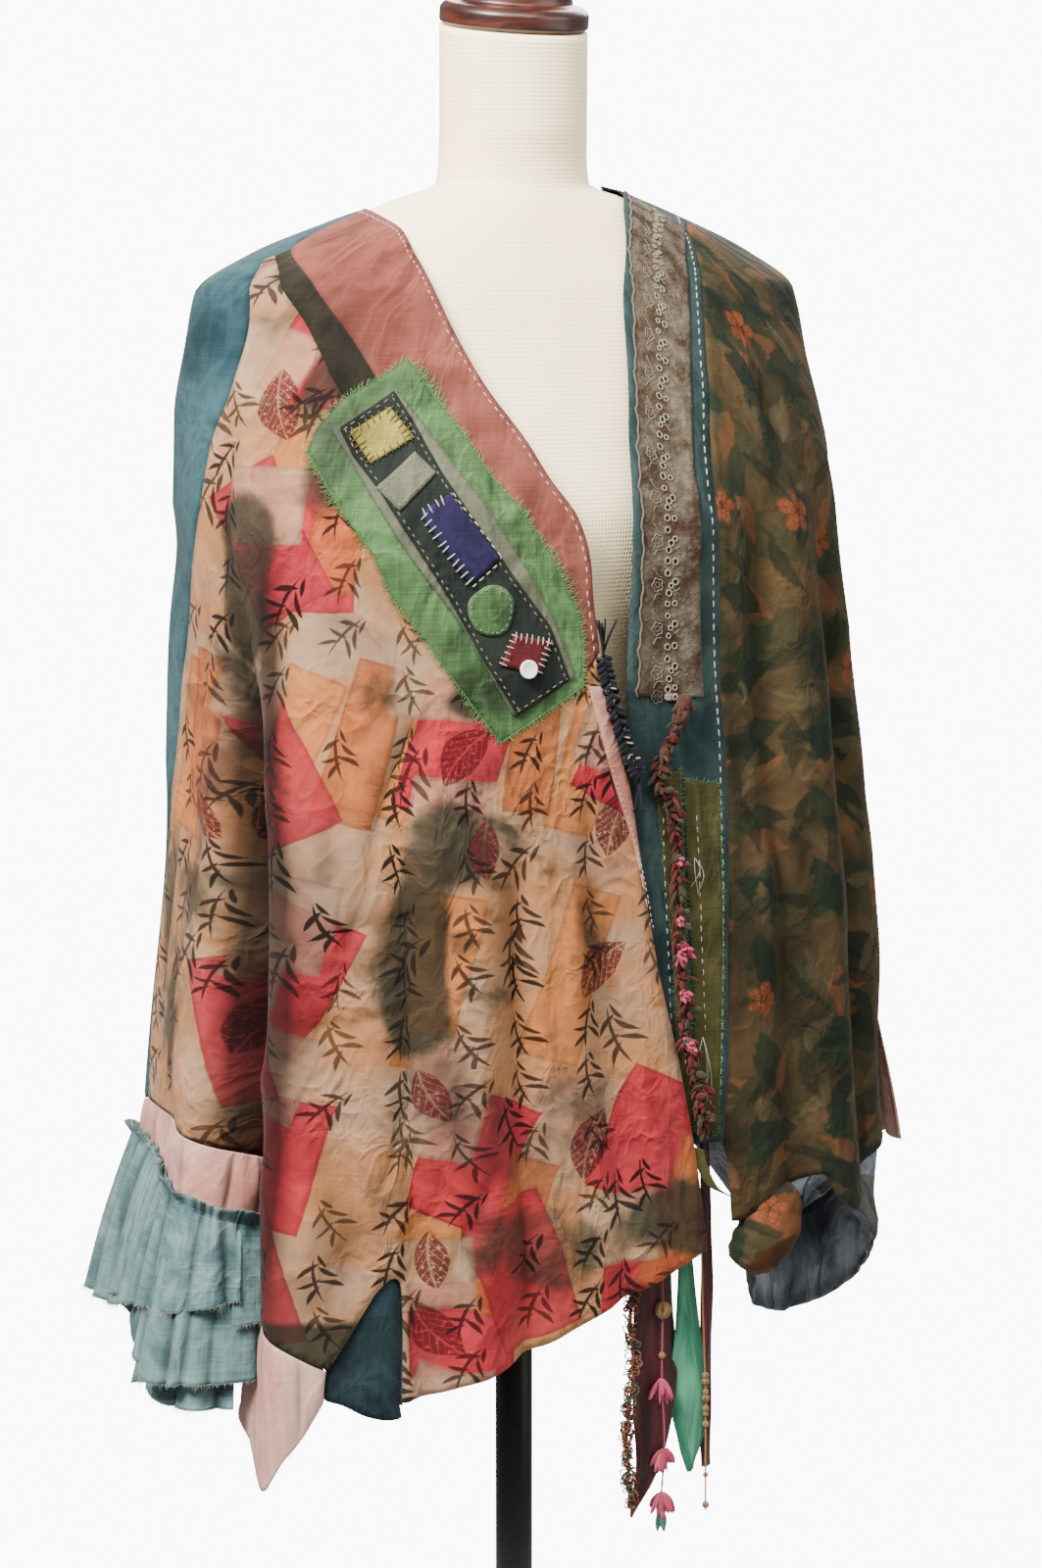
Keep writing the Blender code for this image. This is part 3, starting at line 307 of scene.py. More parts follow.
LEFT_SLEEVE_FRONT = marks((-27.5, 721), (-28.8, 700), (-29.6, 657), (-33, 662), (-38, 668), (-43, 677),
    (-48.2, 684), (-51, 662), (-55, 650), (-60, 662), (-66, 680), (-80, 690), (-98, 690))
LEFT_UNDERARM = table("x y foot", (102, -155.5, 690), (125, -128, 700), (146, -90, 700), (168, -50, 700),
    (184, -10, 700), (188, 30, 700), (184, 70, 696), (176, 106, 690))
LEFT_UNDERARM_TOP = 0.745
TRIM_LEFT = marks((-62, 1393), (-49, 1383), (-37.2, 1360), (-29, 1326), (-16.8, 1258), (-9.8, 1192),
    (-7.8, 1124), (-6, 1048))
TRIM_RIGHT = marks((-66, 1371), (-56, 1352), (-47.8, 1325), (-35, 1257), (-26.5, 1190), (-25.2, 1122),
    (-25.8, 1044))

# Applied pieces on the right front: outline and layer above the cloth
GREEN_PATCH = marks((54.2, 1283), (50, 1270), (42.5, 1242), (33.8, 1207), (25, 1176), (19.2, 1150),
    (12, 1107), (10.8, 1088), (10.8, 1059), (31.8, 1024), (41.5, 1073), (46, 1100), (50.8, 1125),
    (53.8, 1154), (59, 1183), (65.8, 1222), (65.2, 1238), (62.2, 1258), (57.5, 1272))
SAGE_UNDERLAY = marks((63, 1237), (54.8, 1191), (47.2, 1147), (39, 1104), (29, 1042), (13.2, 1066),
    (18.5, 1106), (25, 1140), (32.8, 1178), (40, 1208), (49, 1243), (54.5, 1263))
DARK_PATCH = marks((62, 1238), (55, 1262), (50.3, 1241), (44, 1210), (35.5, 1170), (28.2, 1136), (20, 1103),
    (14.8, 1064), (28.2, 1042), (35.2, 1081), (41, 1120), (47.5, 1160), (54, 1196), (59, 1219))
YELLOW_PATCH = marks((60.3, 1235), (55, 1251), (50, 1231), (56.2, 1214))
SAGE_PATCH = marks((54.6, 1198), (49.4, 1221.5), (44.8, 1208), (50.4, 1182.5))
PURPLE_PATCH = marks((47, 1181), (42, 1194), (31.8, 1150), (37.8, 1133))
RED_PATCH = marks((28.8, 1098), (19.8, 1092), (23, 1070), (31.8, 1077))
DISC_CENTRE, DISC_RADIUS = (33.5, 1.115), 0.0175
BUTTON_CENTRE, BUTTON_RADIUS = (26.0, 1.074), 0.0065
FACING = marks((9.6, 1059), (3, 999), (-5.2, 932), (-8.6, 880), (-5.8, 938), (-2.7, 988), (5.3, 1058))
OLIVE_PATCH = marks((-12, 982), (-18.6, 996), (-19.4, 860), (-20.4, 730), (-16, 742), (-15.6, 860))
OLIVE_EDGE = marks((-19.6, 988), (-29.4, 981), (-28.6, 860), (-26.2, 728), (-21.4, 730), (-20.4, 860))

# The dress form under the cloth
TORSO = table(
    "height width front back square",
    (1440, 53, 52, 54, 2),
    (1416, 54, 49, 56, 2),
    (1402, 56, 50, 59, 2),
    (1392, 88.5, 54, 69, 2),
    (1378, 125, 60, 77, 2.05),
    (1352, 186, 71, 86, 2.1),
    (1334, 197, 79, 91, 2.2),
    (1310, 195, 87, 93, 2.3),
    (1270, 184, 100, 96, 2.4),
    (1220, 172, 115, 98, 2.4),
    (1170, 164, 126, 97, 2.35),
    (1110, 153, 116, 92, 2.25),
    (1040, 134, 98, 86, 2.15),
    (990, 128, 92, 86, 2.1),
    (930, 139, 97, 92, 2.15),
    (860, 162, 107, 100, 2.2),
    (790, 174, 110, 102, 2.25),
    (720, 170, 106, 98, 2.25),
)
NECK_RADIUS = 0.053
POLE_ENDS = (0.032, 0.7195)
NECK_CAP = table("radius height", (50, 0), (53.5, 4), (53.5, 11), (50, 16), (41.5, 19), (40, 27), (34, 33),
    (15, 40), (10.5, 52), (15.5, 63), (15, 76), (3, 86))
FLOOR_BASE = table("radius height", (164, 0), (170, 6), (170, 16), (156, 24), (60, 29), (34, 32))

# Cuffs and ruffle, by angle or by turn round the left cuff's middle
RUFFLE_TOP = table("angle height", (69.8, 676), (73.2, 682), (79, 700), (84, 711), (98, 721), (110, 705),
    (120, 640))
RUFFLE_FOOT = table("angle long short", (69.8, 580, 640), (73.2, 576, 634), (78, 577, 628), (81, 588, 624),
    (84, 606, 620), (88, 616, 614), (93, 620, 610), (99, 622, 612), (110, 620, 600), (120, 600, 590))
CUFF_DEPTH = table("angle depth", (57.6, 20), (60, 47), (62, 72), (64.2, 106), (66, 84), (68.2, 74),
    (69.4, 60), (70.6, 40), (73.5, 46), (80, 42), (90, 34), (98, 28), (125, 28))
LEFT_CUFF_CENTRE = (0.215, -0.076)
LEFT_CUFF_RADII = (0.053, 0.036)
LEFT_CUFF_TOP = 0.698
LEFT_CUFF_END = table("turn height", (0, 656), (40, 620), (90, 578), (150, 546), (180, 540), (210, 548),
    (270, 594), (320, 636), (360, 656))
LEFT_ROLL = table("angle height radius", (-31.4, 624, 11), (-33.2, 632, 18), (-36.4, 644, 21.5),
    (-40.5, 662, 16.5), (-43.6, 679, 8.5))

# Lines that braids and ties follow on the cloth
YARN_BRAID = table("angle height", (-19, 1044), (-15.5, 1018), (-11.4, 994), (-14.3, 971), (-16.4, 945),
    (-16.2, 879), (-17.2, 808), (-19.6, 772), (-22.4, 726))
NAVY_BRAID = table("angle height", (6.2, 1079), (4.4, 1058), (1.2, 1030), (-2.2, 1008), (-4.6, 994))
OLIVE_TIE = table("angle height half", (-20.6, 719.5, 6), (-21.6, 706, 6), (-24, 690, 6), (-28.4, 680, 3))


# Curves and noise

def smooth_curve(xs, ys, x):
    """The smooth curve through (xs, ys) at x, level where the samples turn back: Hermite cubics whose slopes
    are harmonic means of the neighbouring spans' slopes."""
    if xs[0] > xs[-1]:
        xs, ys = xs[::-1], ys[::-1]
    step = np.diff(xs)
    slope = np.diff(ys) / step
    same_way = slope[:-1] * slope[1:] > 0
    ahead = 2 * step[1:] + step[:-1]
    behind = step[1:] + 2 * step[:-1]
    early, late = np.where(same_way, slope[:-1], 1), np.where(same_way, slope[1:], 1)
    tangent = np.zeros(len(xs))
    tangent[1:-1] = np.where(same_way, (ahead + behind) / (ahead / early + behind / late), 0)
    tangent[0], tangent[-1] = slope[0], slope[-1]
    x = np.clip(x, xs[0], xs[-1])
    i = np.clip(np.searchsorted(xs, x) - 1, 0, len(step) - 1)
    t = (x - xs[i]) / step[i]
    return ((1 + 2 * t) * (1 - t) ** 2 * ys[i] + t * (1 - t) ** 2 * step[i] * tangent[i]
        + t * t * (3 - 2 * t) * ys[i + 1] + t * t * (t - 1) * step[i] * tangent[i + 1])


def resample(rows, count):
    """Smooth points through the rows of an array, even in row number."""
    rows = np.asarray(rows, float)
    index = np.arange(len(rows), dtype=float)
    at = np.linspace(0, len(rows) - 1, count)
    return np.stack([smooth_curve(index, column, at) for column in rows.T], 1)


def look_up(rows, at):
    """Smooth curves through a table's other columns, at places along its first."""
    first, *others = rows.values()
    return [smooth_curve(first, column, at) for column in others]


def smooth_rows(rows, count):
    """Smooth points through the rows of a table."""
    return resample(np.stack(list(rows.values()), 1), count)


def fade(t):
    """0 below 0, 1 above 1, and 3t^2 - 2t^3 between."""
    t = np.clip(t, 0, 1)
    return t * t * (3 - 2 * t)


def unit(vectors):
    return vectors / np.maximum(np.linalg.norm(vectors, axis=-1, keepdims=True), 1e-12)


def noise(points, size, seed):
    """Smooth noise in space from -1 to 1, in lumps about size across: hashed values at the corners of cubes,
    blended with fade along each axis."""
    spot = np.asarray(points) / size + 17.31 * seed
    cell = np.floor(spot)
    share = fade(spot - cell)
    total = 0
    for corner in np.ndindex(2, 2, 2):
        hashed = np.sin((cell + corner) @ (127.1, 311.7, 74.7)) * 43758.5453
        weight = np.prod(np.where(corner, share, 1 - share), axis=-1)
        total = total + weight * (2 * (hashed - np.floor(hashed)) - 1)
    return total


def scatter(count, seed):
    """Random numbers from 0 to 1."""
    return np.random.default_rng(seed).random(count)


# The worn cloth

def bare_cloth(angle, height):
    """Unfolded cloth and its outward way in plan: |x/width|^n + |y/depth|^n = 1 at each height."""
    return oval(angle, height, *look_up(BODY, height))


def oval(angle, height, right, left, front, back, square):
    """Points at the angles of a superellipse at each height, and its outward way in plan."""
    sin, cos = np.sin(np.radians(angle)), np.cos(np.radians(angle))
    width, depth = np.where(sin >= 0, right, left), np.where(cos >= 0, front, back)
    reach = (np.abs(sin / width) ** square + np.abs(cos / depth) ** square) ** (-1 / square)
    x, y = -reach * sin, -reach * cos
    out = np.stack([np.sign(x) * np.abs(x) ** (square - 1) / width ** square,
        np.sign(y) * np.abs(y) ** (square - 1) / depth ** square, 0 * x], -1)
    return np.stack([x, y, height + 0 * x], -1), unit(out)


def fold_depth(angle, height):
    """How far the large folds move the cloth in: a bell across each slanting line."""
    depth = np.zeros(np.broadcast(angle, height).shape)
    for top_angle, top, low_angle, low, width, deep, soft in zip(*FOLDS.values()):
        middle = np.interp(height, (low, top), (low_angle, top_angle))
        across = ((angle - middle + 180) % 360 - 180) / width
        depth += deep * np.exp(-across ** 2) * fade((top - height) / soft) * fade((height - low) / soft + 0.5)
    return depth


def running_length(points):
    return np.append(0, np.cumsum(np.linalg.norm(np.diff(points, axis=0), axis=1)))


def cloth_scale():
    """Tables from angle and height to metres of flat cloth: round the chest, and up the side."""
    angles = np.linspace(-100, 284, 1537)
    points, _ = bare_cloth(angles, np.full_like(angles, 0.95))
    around = running_length(points)
    heights = np.linspace(0.4, 1.402, 1003)
    right, _, front, *_ = look_up(BODY, heights)
    profile = np.stack([heights, 0.6 * right, 0.6 * front], 1)
    return angles, around - np.interp(0, angles, around), heights, heights[0] + running_length(profile)


ANGLE_LINE, ACROSS_LINE, HEIGHT_LINE, UP_LINE = cloth_scale()


def to_flat(places):
    """Angle and height to metres of flat cloth."""
    places = np.asarray(places, float)
    return np.stack([np.interp(places[..., 0], ANGLE_LINE, ACROSS_LINE),
        np.interp(places[..., 1], HEIGHT_LINE, UP_LINE)], -1)


def to_place(flat):
    """Metres of flat cloth to angle and height."""
    return np.interp(flat[..., 0], ACROSS_LINE, ANGLE_LINE), np.interp(flat[..., 1], UP_LINE, HEIGHT_LINE)


def bowed_lines(lines, angle, height):
    """A bell across each bowed line of a table, as high as it is deep or dark, fading out at its ends."""
    spot = to_flat(np.stack(np.broadcast_arrays((angle + 100) % 360 - 100, height), -1))
    depth = np.zeros(spot.shape[:-1])
    for top_angle, top, low_angle, low, width, deep, bow in zip(*lines.values()):
        start, end = to_flat((top_angle, top)), to_flat((low_angle, low))
        line = end - start
        long = line @ line
        along = (spot - start) @ line / long
        across = ((spot - start) @ (-line[1], line[0])) / math.sqrt(long)
        across = across - bow * np.sin(np.pi * np.clip(along, 0, 1))
        ends = fade((along + 0.08) / 0.4) * fade((1.08 - along) / 0.4)
        depth += deep * np.exp(-(across / width) ** 2) * ends
    return depth


def stained(angle, height):
    """How strongly the large stains cover a place: bells at the table's spots, torn by noise."""
    spot = to_flat(np.stack(np.broadcast_arrays(angle, height), -1))
    torn = 0.03 * noise(np.concatenate([spot, 0 * spot[..., :1]], -1), 0.06, 11)
    total = 0
    for middle, high, wide, tall, strong in zip(*STAINS.values()):
        away = (spot - to_flat((middle, high))) / (wide, tall)
        total = np.maximum(total, strong * fade(1.6 - np.linalg.norm(away, axis=-1) + torn / wide))
    return total


def painted_fold_shade(angle, height):
    """Painted shade: how dark a place is for lying in a fold or crease, or along a line of the shadow table.
    """
    wide = np.clip(fold_depth(angle, height) / 0.03, 0, 1)
    painted_crease_shade = np.clip(bowed_lines(CREASES, angle, height) / 0.005, 0, 1)
    return np.clip(0.75 * wide + 0.34 * painted_crease_shade + bowed_lines(SHADOWS, angle, height), 0, 1.32)


def folded_cloth(angle, height):
    points, out = bare_cloth(angle, height)
    return points - out * (fold_depth(angle, height) + bowed_lines(CREASES, angle, height))[..., None]


def crumple(points):
    """How far crumpling lifts the cloth: soft lumps, and ridges where bent noises cross zero, as uneven as a
    third noise makes them."""
    tall = points * (1, 1, 0.5) + 0.045 * noise(points, 0.13, 5)[..., None] * (1, 1, 1.5)
    strong = fade(noise(points, 0.16, 7) * 1.2 + 0.55)
    ridges = 1 - 2.2 * np.abs(noise(tall, 0.085, 2))
    middle = 1 - 2.2 * np.abs(noise(points * (1, 1, 0.6) + 0.5 * (tall - points), 0.042, 3))
    worn = 0.3 + 0.7 * fade((1.36 - points[..., 2]) / 0.1)
    return worn * (0.0028 * noise(tall, 0.12, 1) + (0.3 + 0.7 * strong) * 0.0042 * ridges
        + (0.35 + 0.65 * strong) * 0.0021 * middle)


def cloth_frame(angle, height, out=CLOTH_TOP, under=False):
    """Points on the worn cloth moved out along its normal, and that normal, from differences along angle and
    height. Pieces of the left front go under the right one."""
    angle, height = np.broadcast_arrays(np.asarray(angle, float), np.asarray(height, float))
    along = folded_cloth(angle + 0.5, height) - folded_cloth(angle - 0.5, height)
    down = folded_cloth(angle, height - 0.003) - folded_cloth(angle, height + 0.003)
    normal = unit(np.cross(along, down))
    lift = out + crumple(bare_cloth(angle, height)[0])
    if under:
        lift = lift - UNDERLAP * fade((angle + 48) / 20)
    return folded_cloth(angle, height) + normal * lift[..., None], normal


def on_cloth(angle, height, out=CLOTH_TOP, under=False):
    return cloth_frame(angle, height, out, under)[0]


# Meshes

def shown(name, data):
    """A new object in the scene's collection."""
    made = bpy.data.objects.new(name, data)
    bpy.context.collection.objects.link(made)
    return made


def add_piece(name, points, faces, finish, nodes=(), flat=None, thick=0, tone=None, slot=None, stain=None):
    """A piece at the origin, from points and faces. Flat cloth in metres is its UV map, tone and stain are
    attributes that vary its colour, and thick is a wall behind the faces. On cloth the tone is painted shade;
    on strands it picks their colour."""
    mesh = bpy.data.meshes.new(name)
    mesh.from_pydata(np.reshape(points, (-1, 3)), [], faces, shade_flat=False)
    if flat is not None:
        corners = np.empty(len(mesh.loops), np.int32)
        mesh.loops.foreach_get("vertex_index", corners)
        mesh.uv_layers.new(name="Cloth").uv.foreach_set("vector", np.reshape(flat, (-1, 2))[corners].ravel())
    for label, values in (("tone", tone), ("stain", stain)):
        if values is not None:
            mesh.attributes.new(label, "FLOAT", "POINT").data.foreach_set("value", np.ravel(values))
    mesh.materials.append(finished(finish))
    made = shown(name, mesh)
    if thick:
        wall = made.modifiers.new("Wall", "SOLIDIFY")
        wall.thickness, wall.offset = thick, -1
    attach(made, "root")
    if nodes:
        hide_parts(*nodes)
    return made


def grid_faces(rows, columns, wraps=False):
    """Quads over a grid of points, by row. They face outwards if columns run to the wearer's right and rows
    run down."""
    a = (np.arange(rows - 1)[:, None] * columns + np.arange(columns if wraps else columns - 1)).ravel()
    b = a // columns * columns + (a + 1) % columns
    return np.stack([a, b, b + columns, a + columns], 1)


def strands(paths, radius, sides, up, flatten=1.0):
    """Points and faces of many strands at once, closed at both ends. Each is a ring of radius r carried along
    its path: p + r (cos(turn) across + flatten sin(turn) up), with up set square to the path."""
    count, length = paths.shape[:2]
    ahead = unit(np.gradient(paths, axis=1))
    across = unit(np.cross(np.broadcast_to(up, paths.shape), ahead))
    raised = np.cross(ahead, across)
    turns = np.linspace(0, 2 * np.pi, sides, endpoint=False)
    round_way = (across[:, :, None] * np.cos(turns)[:, None]
        + flatten * raised[:, :, None] * np.sin(turns)[:, None])
    points = paths[:, :, None] + round_way * np.broadcast_to(radius, (count, length))[..., None, None]
    starts = np.arange(count)[:, None] * length * sides
    sleeve = (starts[:, None] + grid_faces(length, sides, True)).reshape(-1, 4)
    foot = starts + np.arange(sides)
    tip = starts + (length - 1) * sides + np.arange(sides)
    return points.reshape(-1, 3), sleeve.tolist() + foot[:, ::-1].tolist() + tip.tolist()


class Heap:
    """Points, faces and tones of many small shapes, gathered for one mesh."""

    def __init__(self):
        self.points, self.faces, self.tones = [], [], []

    def add(self, points, faces, tone=0.5):
        start = sum(len(p) for p in self.points)
        self.points.append(points)
        self.faces += [[start + v for v in face] for face in faces]
        self.tones.append(np.broadcast_to(tone, len(points)))

    def strand(self, paths, radius, tone, sides=6, up=(0, 1, 0), flatten=1.0):
        """One strand, or many of the same length."""
        paths = np.asarray(paths, float)
        self.add(*strands(paths.reshape(-1, *paths.shape[-2:]), radius, sides, up, flatten), tone)

    def lay(self, spots, out, radius, tone, sides=6, under=False, flatten=1.0):
        """Strands along rows of spots of flat cloth, lying on the worn cloth."""
        paths, normal = cloth_frame(*to_place(spots), out, under)
        self.strand(paths, radius, tone, sides, normal, flatten)

    def stitch(self, rows, out, radius, under, tone):
        """A stitch along each row of six spots: it rises out of the cloth, lies on it and dives back in."""
        run = np.linspace(0, 1, 6)
        arc = 4 * run * (1 - run)
        self.lay(rows, out + radius * (1.5 * arc ** 0.5 - 0.9), radius * (0.75 + 0.25 * arc), tone, 6,
            under, 0.8)

    def piece(self, name, finish, **more):
        return add_piece(name, np.concatenate(self.points), self.faces, finish,
            tone=np.concatenate(self.tones), **more)


# Cutting flat cloth

SCALLOPED_PLACES = 420


def cut_edge(*runs):
    """A closed outline in metres of flat cloth, smooth through each run of places, and its corners. A
    scalloped run is fine as it is."""
    curves = [to_flat(run if len(run) in (1, SCALLOPED_PLACES) else resample(run, 8 * (len(run) - 1) + 1))
        for run in runs]
    line = np.concatenate(curves)
    keep = np.linalg.norm(line - np.roll(line, 1, 0), axis=1) > 1e-6
    corners = np.concatenate([curve[[0, -1]] for curve in curves])
    return line[keep], corners


def onto_line(spots, line):
    """The nearest place on a closed line to each spot, and how far it is."""
    best = np.full(len(spots), np.inf)
    nearest = spots.copy()
    for start, end in zip(line, np.roll(line, -1, 0)):
        span = end - start
        share = np.clip((spots - start) @ span / max(span @ span, 1e-18), 0, 1)
        place = start + share[:, None] * span
        away = ((spots - place) ** 2).sum(1)
        closer = away < best
        best[closer], nearest[closer] = away[closer], place[closer]
    return nearest, np.sqrt(best)


def inside(spots, line):
    """Which spots are inside a closed line, by counting its edges to their right."""
    x, y = spots.T
    odd = np.zeros(len(spots), bool)
    for (x0, y0), (x1, y1) in zip(line, np.roll(line, -1, 0)):
        if y0 != y1:
            odd ^= ((y0 > y) != (y1 > y)) & (x < x0 + (y - y0) * (x1 - x0) / (y1 - y0))
    return odd


def trimmed_grid(line, corners, step):
    """Square mesh of flat cloth inside an outline: spots, quads and each spot's distance to the outline.
    Spots within 0.71 of a step of the outline move onto it, so every square with its middle inside reaches
    it."""
    low, high = line.min(0) - step, line.max(0) + step
    columns, rows = np.ceil((high - low) / step).astype(int) + 1
    s, t = np.meshgrid(low[0] + step * np.arange(columns), high[1] - step * np.arange(rows))
    spots = np.stack([s.ravel(), t.ravel()], 1)
    quads = grid_faces(rows, columns)
    nearest, distance = onto_line(spots, line)
    edge = distance < 0.71 * step
    moved = np.where(edge[:, None], nearest, spots)
    for corner in corners:
        moved[np.argmin(((moved - corner) ** 2).sum(1))] = corner
    distance[edge] = 0
    kept = quads[inside(spots[quads].mean(1), line)]
    first, second = moved[kept[:, 2]] - moved[kept[:, 0]], moved[kept[:, 3]] - moved[kept[:, 1]]
    kept = kept[np.abs(first[:, 0] * second[:, 1] - first[:, 1] * second[:, 0]) > 0.05 * step ** 2]
    used, kept = np.unique(kept, return_inverse=True)
    return moved[used], kept.reshape(-1, 4), distance[used]


def cloth_piece(name, runs, finish, out=CLOTH_TOP, step=None, thick=None, under=False, groove=0.0007,
        nodes=None, slot=None):
    """A sheet cut to an outline and laid on the worn cloth, dipping by the groove at its seamed edges. Unless
    it's told otherwise, it stands for the node that has its name."""
    step, thick = step or sizes().cloth_step, thick or sizes().wall
    line, corners = cut_edge(*runs)
    flat, quads, distance = trimmed_grid(line, corners, step)
    angle, height = to_place(flat)
    dip = groove * (1 - np.clip(distance / 0.004, 0, 1)) ** 2
    # The tone is painted shade in the folds and creases.
    made = add_piece(name, on_cloth(angle, height, out - dip, under), quads.tolist(), finish,
        (name.removesuffix("_cloth"),) if nodes is None else nodes, flat, thick, painted_fold_shade(angle, height),
        slot, stained(angle, height))
    declare_cut(on_cloth(angle, height, out, under), quads, flat)
    return made


def declare_cut(points, quads, flat=None):
    """Works out a sheet's area as worn and its size, and keeps neither: a panel's size is its flat outline's
    along its longest way and across, and a strip's is its own length by its mean width."""
    across, down = points[quads[:, 2]] - points[quads[:, 0]], points[quads[:, 3]] - points[quads[:, 1]]
    area = float(np.linalg.norm(np.cross(across, down), axis=1).sum() / 2)
    spread = (points if flat is None else flat) - (points if flat is None else flat).mean(0)
    ways = np.linalg.svd(spread, full_matrices=False)[2]
    length, width = (float(np.ptp(spread @ way)) for way in ways[:2])
    if flat is None or area < 0.35 * width * length:
        width = max(area / length, 0.0101)
    elif area > width * length:
        length = 1.001 * area / width


def loft(name, points, finish, nodes=(), thick=0, wraps=False, slot=None, tone=None, held="gathered"):
    """A surface through a grid of points whose rows run down, whose size is worked out as a sheet's if it is
    held. Its UV map is the mean distance along each way."""
    down = np.append(0, np.cumsum(np.linalg.norm(np.diff(points, axis=0), axis=-1).mean(1)))
    along = np.append(0, np.cumsum(np.linalg.norm(np.diff(points, axis=1), axis=-1).mean(0)))
    flat = np.stack(np.meshgrid(along, -down), -1)
    rows, columns = points.shape[:2]
    made = add_piece(name, points, grid_faces(rows, columns, wraps).tolist(), finish, nodes, flat, thick,
        tone, slot)
    if held:
        declare_cut(points.reshape(-1, 3), grid_faces(rows, columns))
    return made


# Sewing, fringes and small trimmings

def even_line(places, shift=0.0, smooth=True, closed=False):
    """A curve through places in metres of flat cloth, moved to its left by shift: a function from a run of
    distances to spots and their left-hand ways, and the curve's length."""
    rows = np.asarray(places, float)
    if closed:
        rows = np.concatenate([rows, rows[:1]])
    flat = to_flat(resample(rows, 10 * (len(rows) - 1) + 1) if smooth else rows)
    along = running_length(flat)
    even = np.linspace(0, along[-1], max(int(along[-1] / 0.002), 8))
    line = np.stack([np.interp(even, along, column) for column in flat.T], 1)
    ahead = unit(np.gradient(line, axis=0))
    left = np.stack([-ahead[:, 1], ahead[:, 0]], 1)
    if closed and (line[:-1, 0] * line[1:, 1] - line[1:, 0] * line[:-1, 1]).sum() > 0:
        left = -left
    line = line + shift * left

    def place(distance):
        return (np.stack([np.interp(distance, even, column) for column in line.T], -1),
            np.stack([np.interp(distance, even, column) for column in left.T], -1))

    return place, along[-1]


def stitches(heap, places, out, pitch=0.0068, share=0.56, radius=0.00042, shift=0.0, under=False, tone=0.5,
        seed=1, smooth=True, closed=False):
    """Running stitches along a line, a little uneven in length and place."""
    place, length = even_line(places, shift, smooth, closed)
    starts = np.arange(0.2 * pitch, length - pitch * share, pitch)
    starts = starts + pitch * 0.22 * (scatter(len(starts), seed) - 0.5)
    share = share * (0.85 + 0.3 * scatter(len(starts), seed + 1))
    spots, left = place(starts[:, None] + pitch * share[:, None] * np.linspace(0, 1, 6))
    spots = spots + left * (0.0006 * (scatter(len(starts), seed + 2) - 0.5))[:, None, None]
    heap.stitch(spots, out, radius, under, tone)


def whips(heap, places, out, pitch=0.005, long=0.005, radius=0.00042, tone=0.5, seed=1, sides=None):
    """Straight stitches across a piece's edge, mostly on the piece. Sides picks some of its edges."""
    places = list(places)
    edges = list(zip(places, places[1:] + places[:1]))
    centre = to_flat(places).mean(0)
    for number, edge in enumerate(edges):
        if sides is not None and number not in sides:
            continue
        place, length = even_line(edge, 0.0, False)
        at = np.arange(0.35 * pitch, length - 0.2 * pitch, pitch)
        at = at + 0.25 * pitch * (scatter(len(at), seed + number) - 0.5)
        spots, left = place(at)
        inward = left * np.sign(((centre - spots) * left).sum(1))[:, None]
        reach = long * (0.8 + 0.4 * scatter(len(at), seed + number + 50))
        run = np.linspace(-0.3, 0.7, 6)
        lean = 0.25 * (scatter(len(at), seed + number + 90) - 0.5)
        ahead = np.stack([inward[:, 1], -inward[:, 0]], 1)
        leaning = (inward + lean[:, None] * ahead)[:, None]
        line = spots[:, None] + leaning * reach[:, None, None] * run[:, None]
        heap.stitch(line, out, radius, False, tone)


FRAY_RADIUS = 0.00016  # of a frayed thread at its root


def fringe(heap, places, out, long, pitch, radius=FRAY_RADIUS, under=False, tone=0.5, seed=1):
    """Frayed threads across a straight-sided piece's edge, of uneven length, each curling its own way and
    lifting at its tip."""
    place, length = even_line(places, 0.0, False, True)
    count = int(length / pitch)
    at = length * (np.arange(count) + scatter(count, seed)) / count
    spots, out_way = place(at)
    ahead = np.stack([-out_way[:, 1], out_way[:, 0]], 1)
    run = np.linspace(0, 1, 5)
    patchy = 0.35 + 0.65 * np.abs(noise(np.stack([at, 0 * at, 0 * at + seed], 1), 0.018, seed))
    reach = long * patchy * (0.4 + 1.1 * scatter(count, seed + 1))
    curl = 1.3 * (scatter(count, seed + 2) - 0.5)
    flat = (spots[:, None] - 0.0008 * out_way[:, None] + out_way[:, None] * (reach[:, None] * run)[..., None]
        + ahead[:, None] * (reach[:, None] * curl[:, None] * run ** 2)[..., None])
    lift = out + 0.0016 * scatter(count, seed + 3)[:, None] * run
    heap.lay(flat, lift, radius * (1 - 0.5 * run), tone, 3, under)


def edge_fringe(heap, points, long, pitch=0.0008, tone=0.5, seed=1):
    """Frayed threads from the last row of a grid of points, along the way that its rows run."""
    edge, down = points[-1], points[-1] - points[-3]
    along = running_length(edge)
    count = int(along[-1] / pitch)
    at = along[-1] * (np.arange(count) + scatter(count, seed)) / count
    start = np.stack([np.interp(at, along, column) for column in edge.T], 1)
    way = unit(np.stack([np.interp(at, along, column) for column in down.T], 1))
    run = np.linspace(0, 1, 5)
    patchy = 0.3 + 0.7 * np.abs(noise(start, 0.02, seed))
    reach = long * patchy * (0.4 + 1.1 * scatter(count, seed + 1))
    curl = (np.random.default_rng(seed + 2).random((count, 3)) - 0.5) * 1.1
    paths = (start - 0.0008 * way)[:, None] + reach[:, None, None] * (
        way[:, None] * run[:, None] + curl[:, None] * run[:, None] ** 2)
    heap.strand(paths, FRAY_RADIUS * (1 - 0.5 * run), tone, 3, (0.1, 1, 0.2))


def circle(turns):
    """Spots of a circle of radius 1 at angles in radians."""
    return np.stack([np.cos(turns), np.sin(turns)], 1)


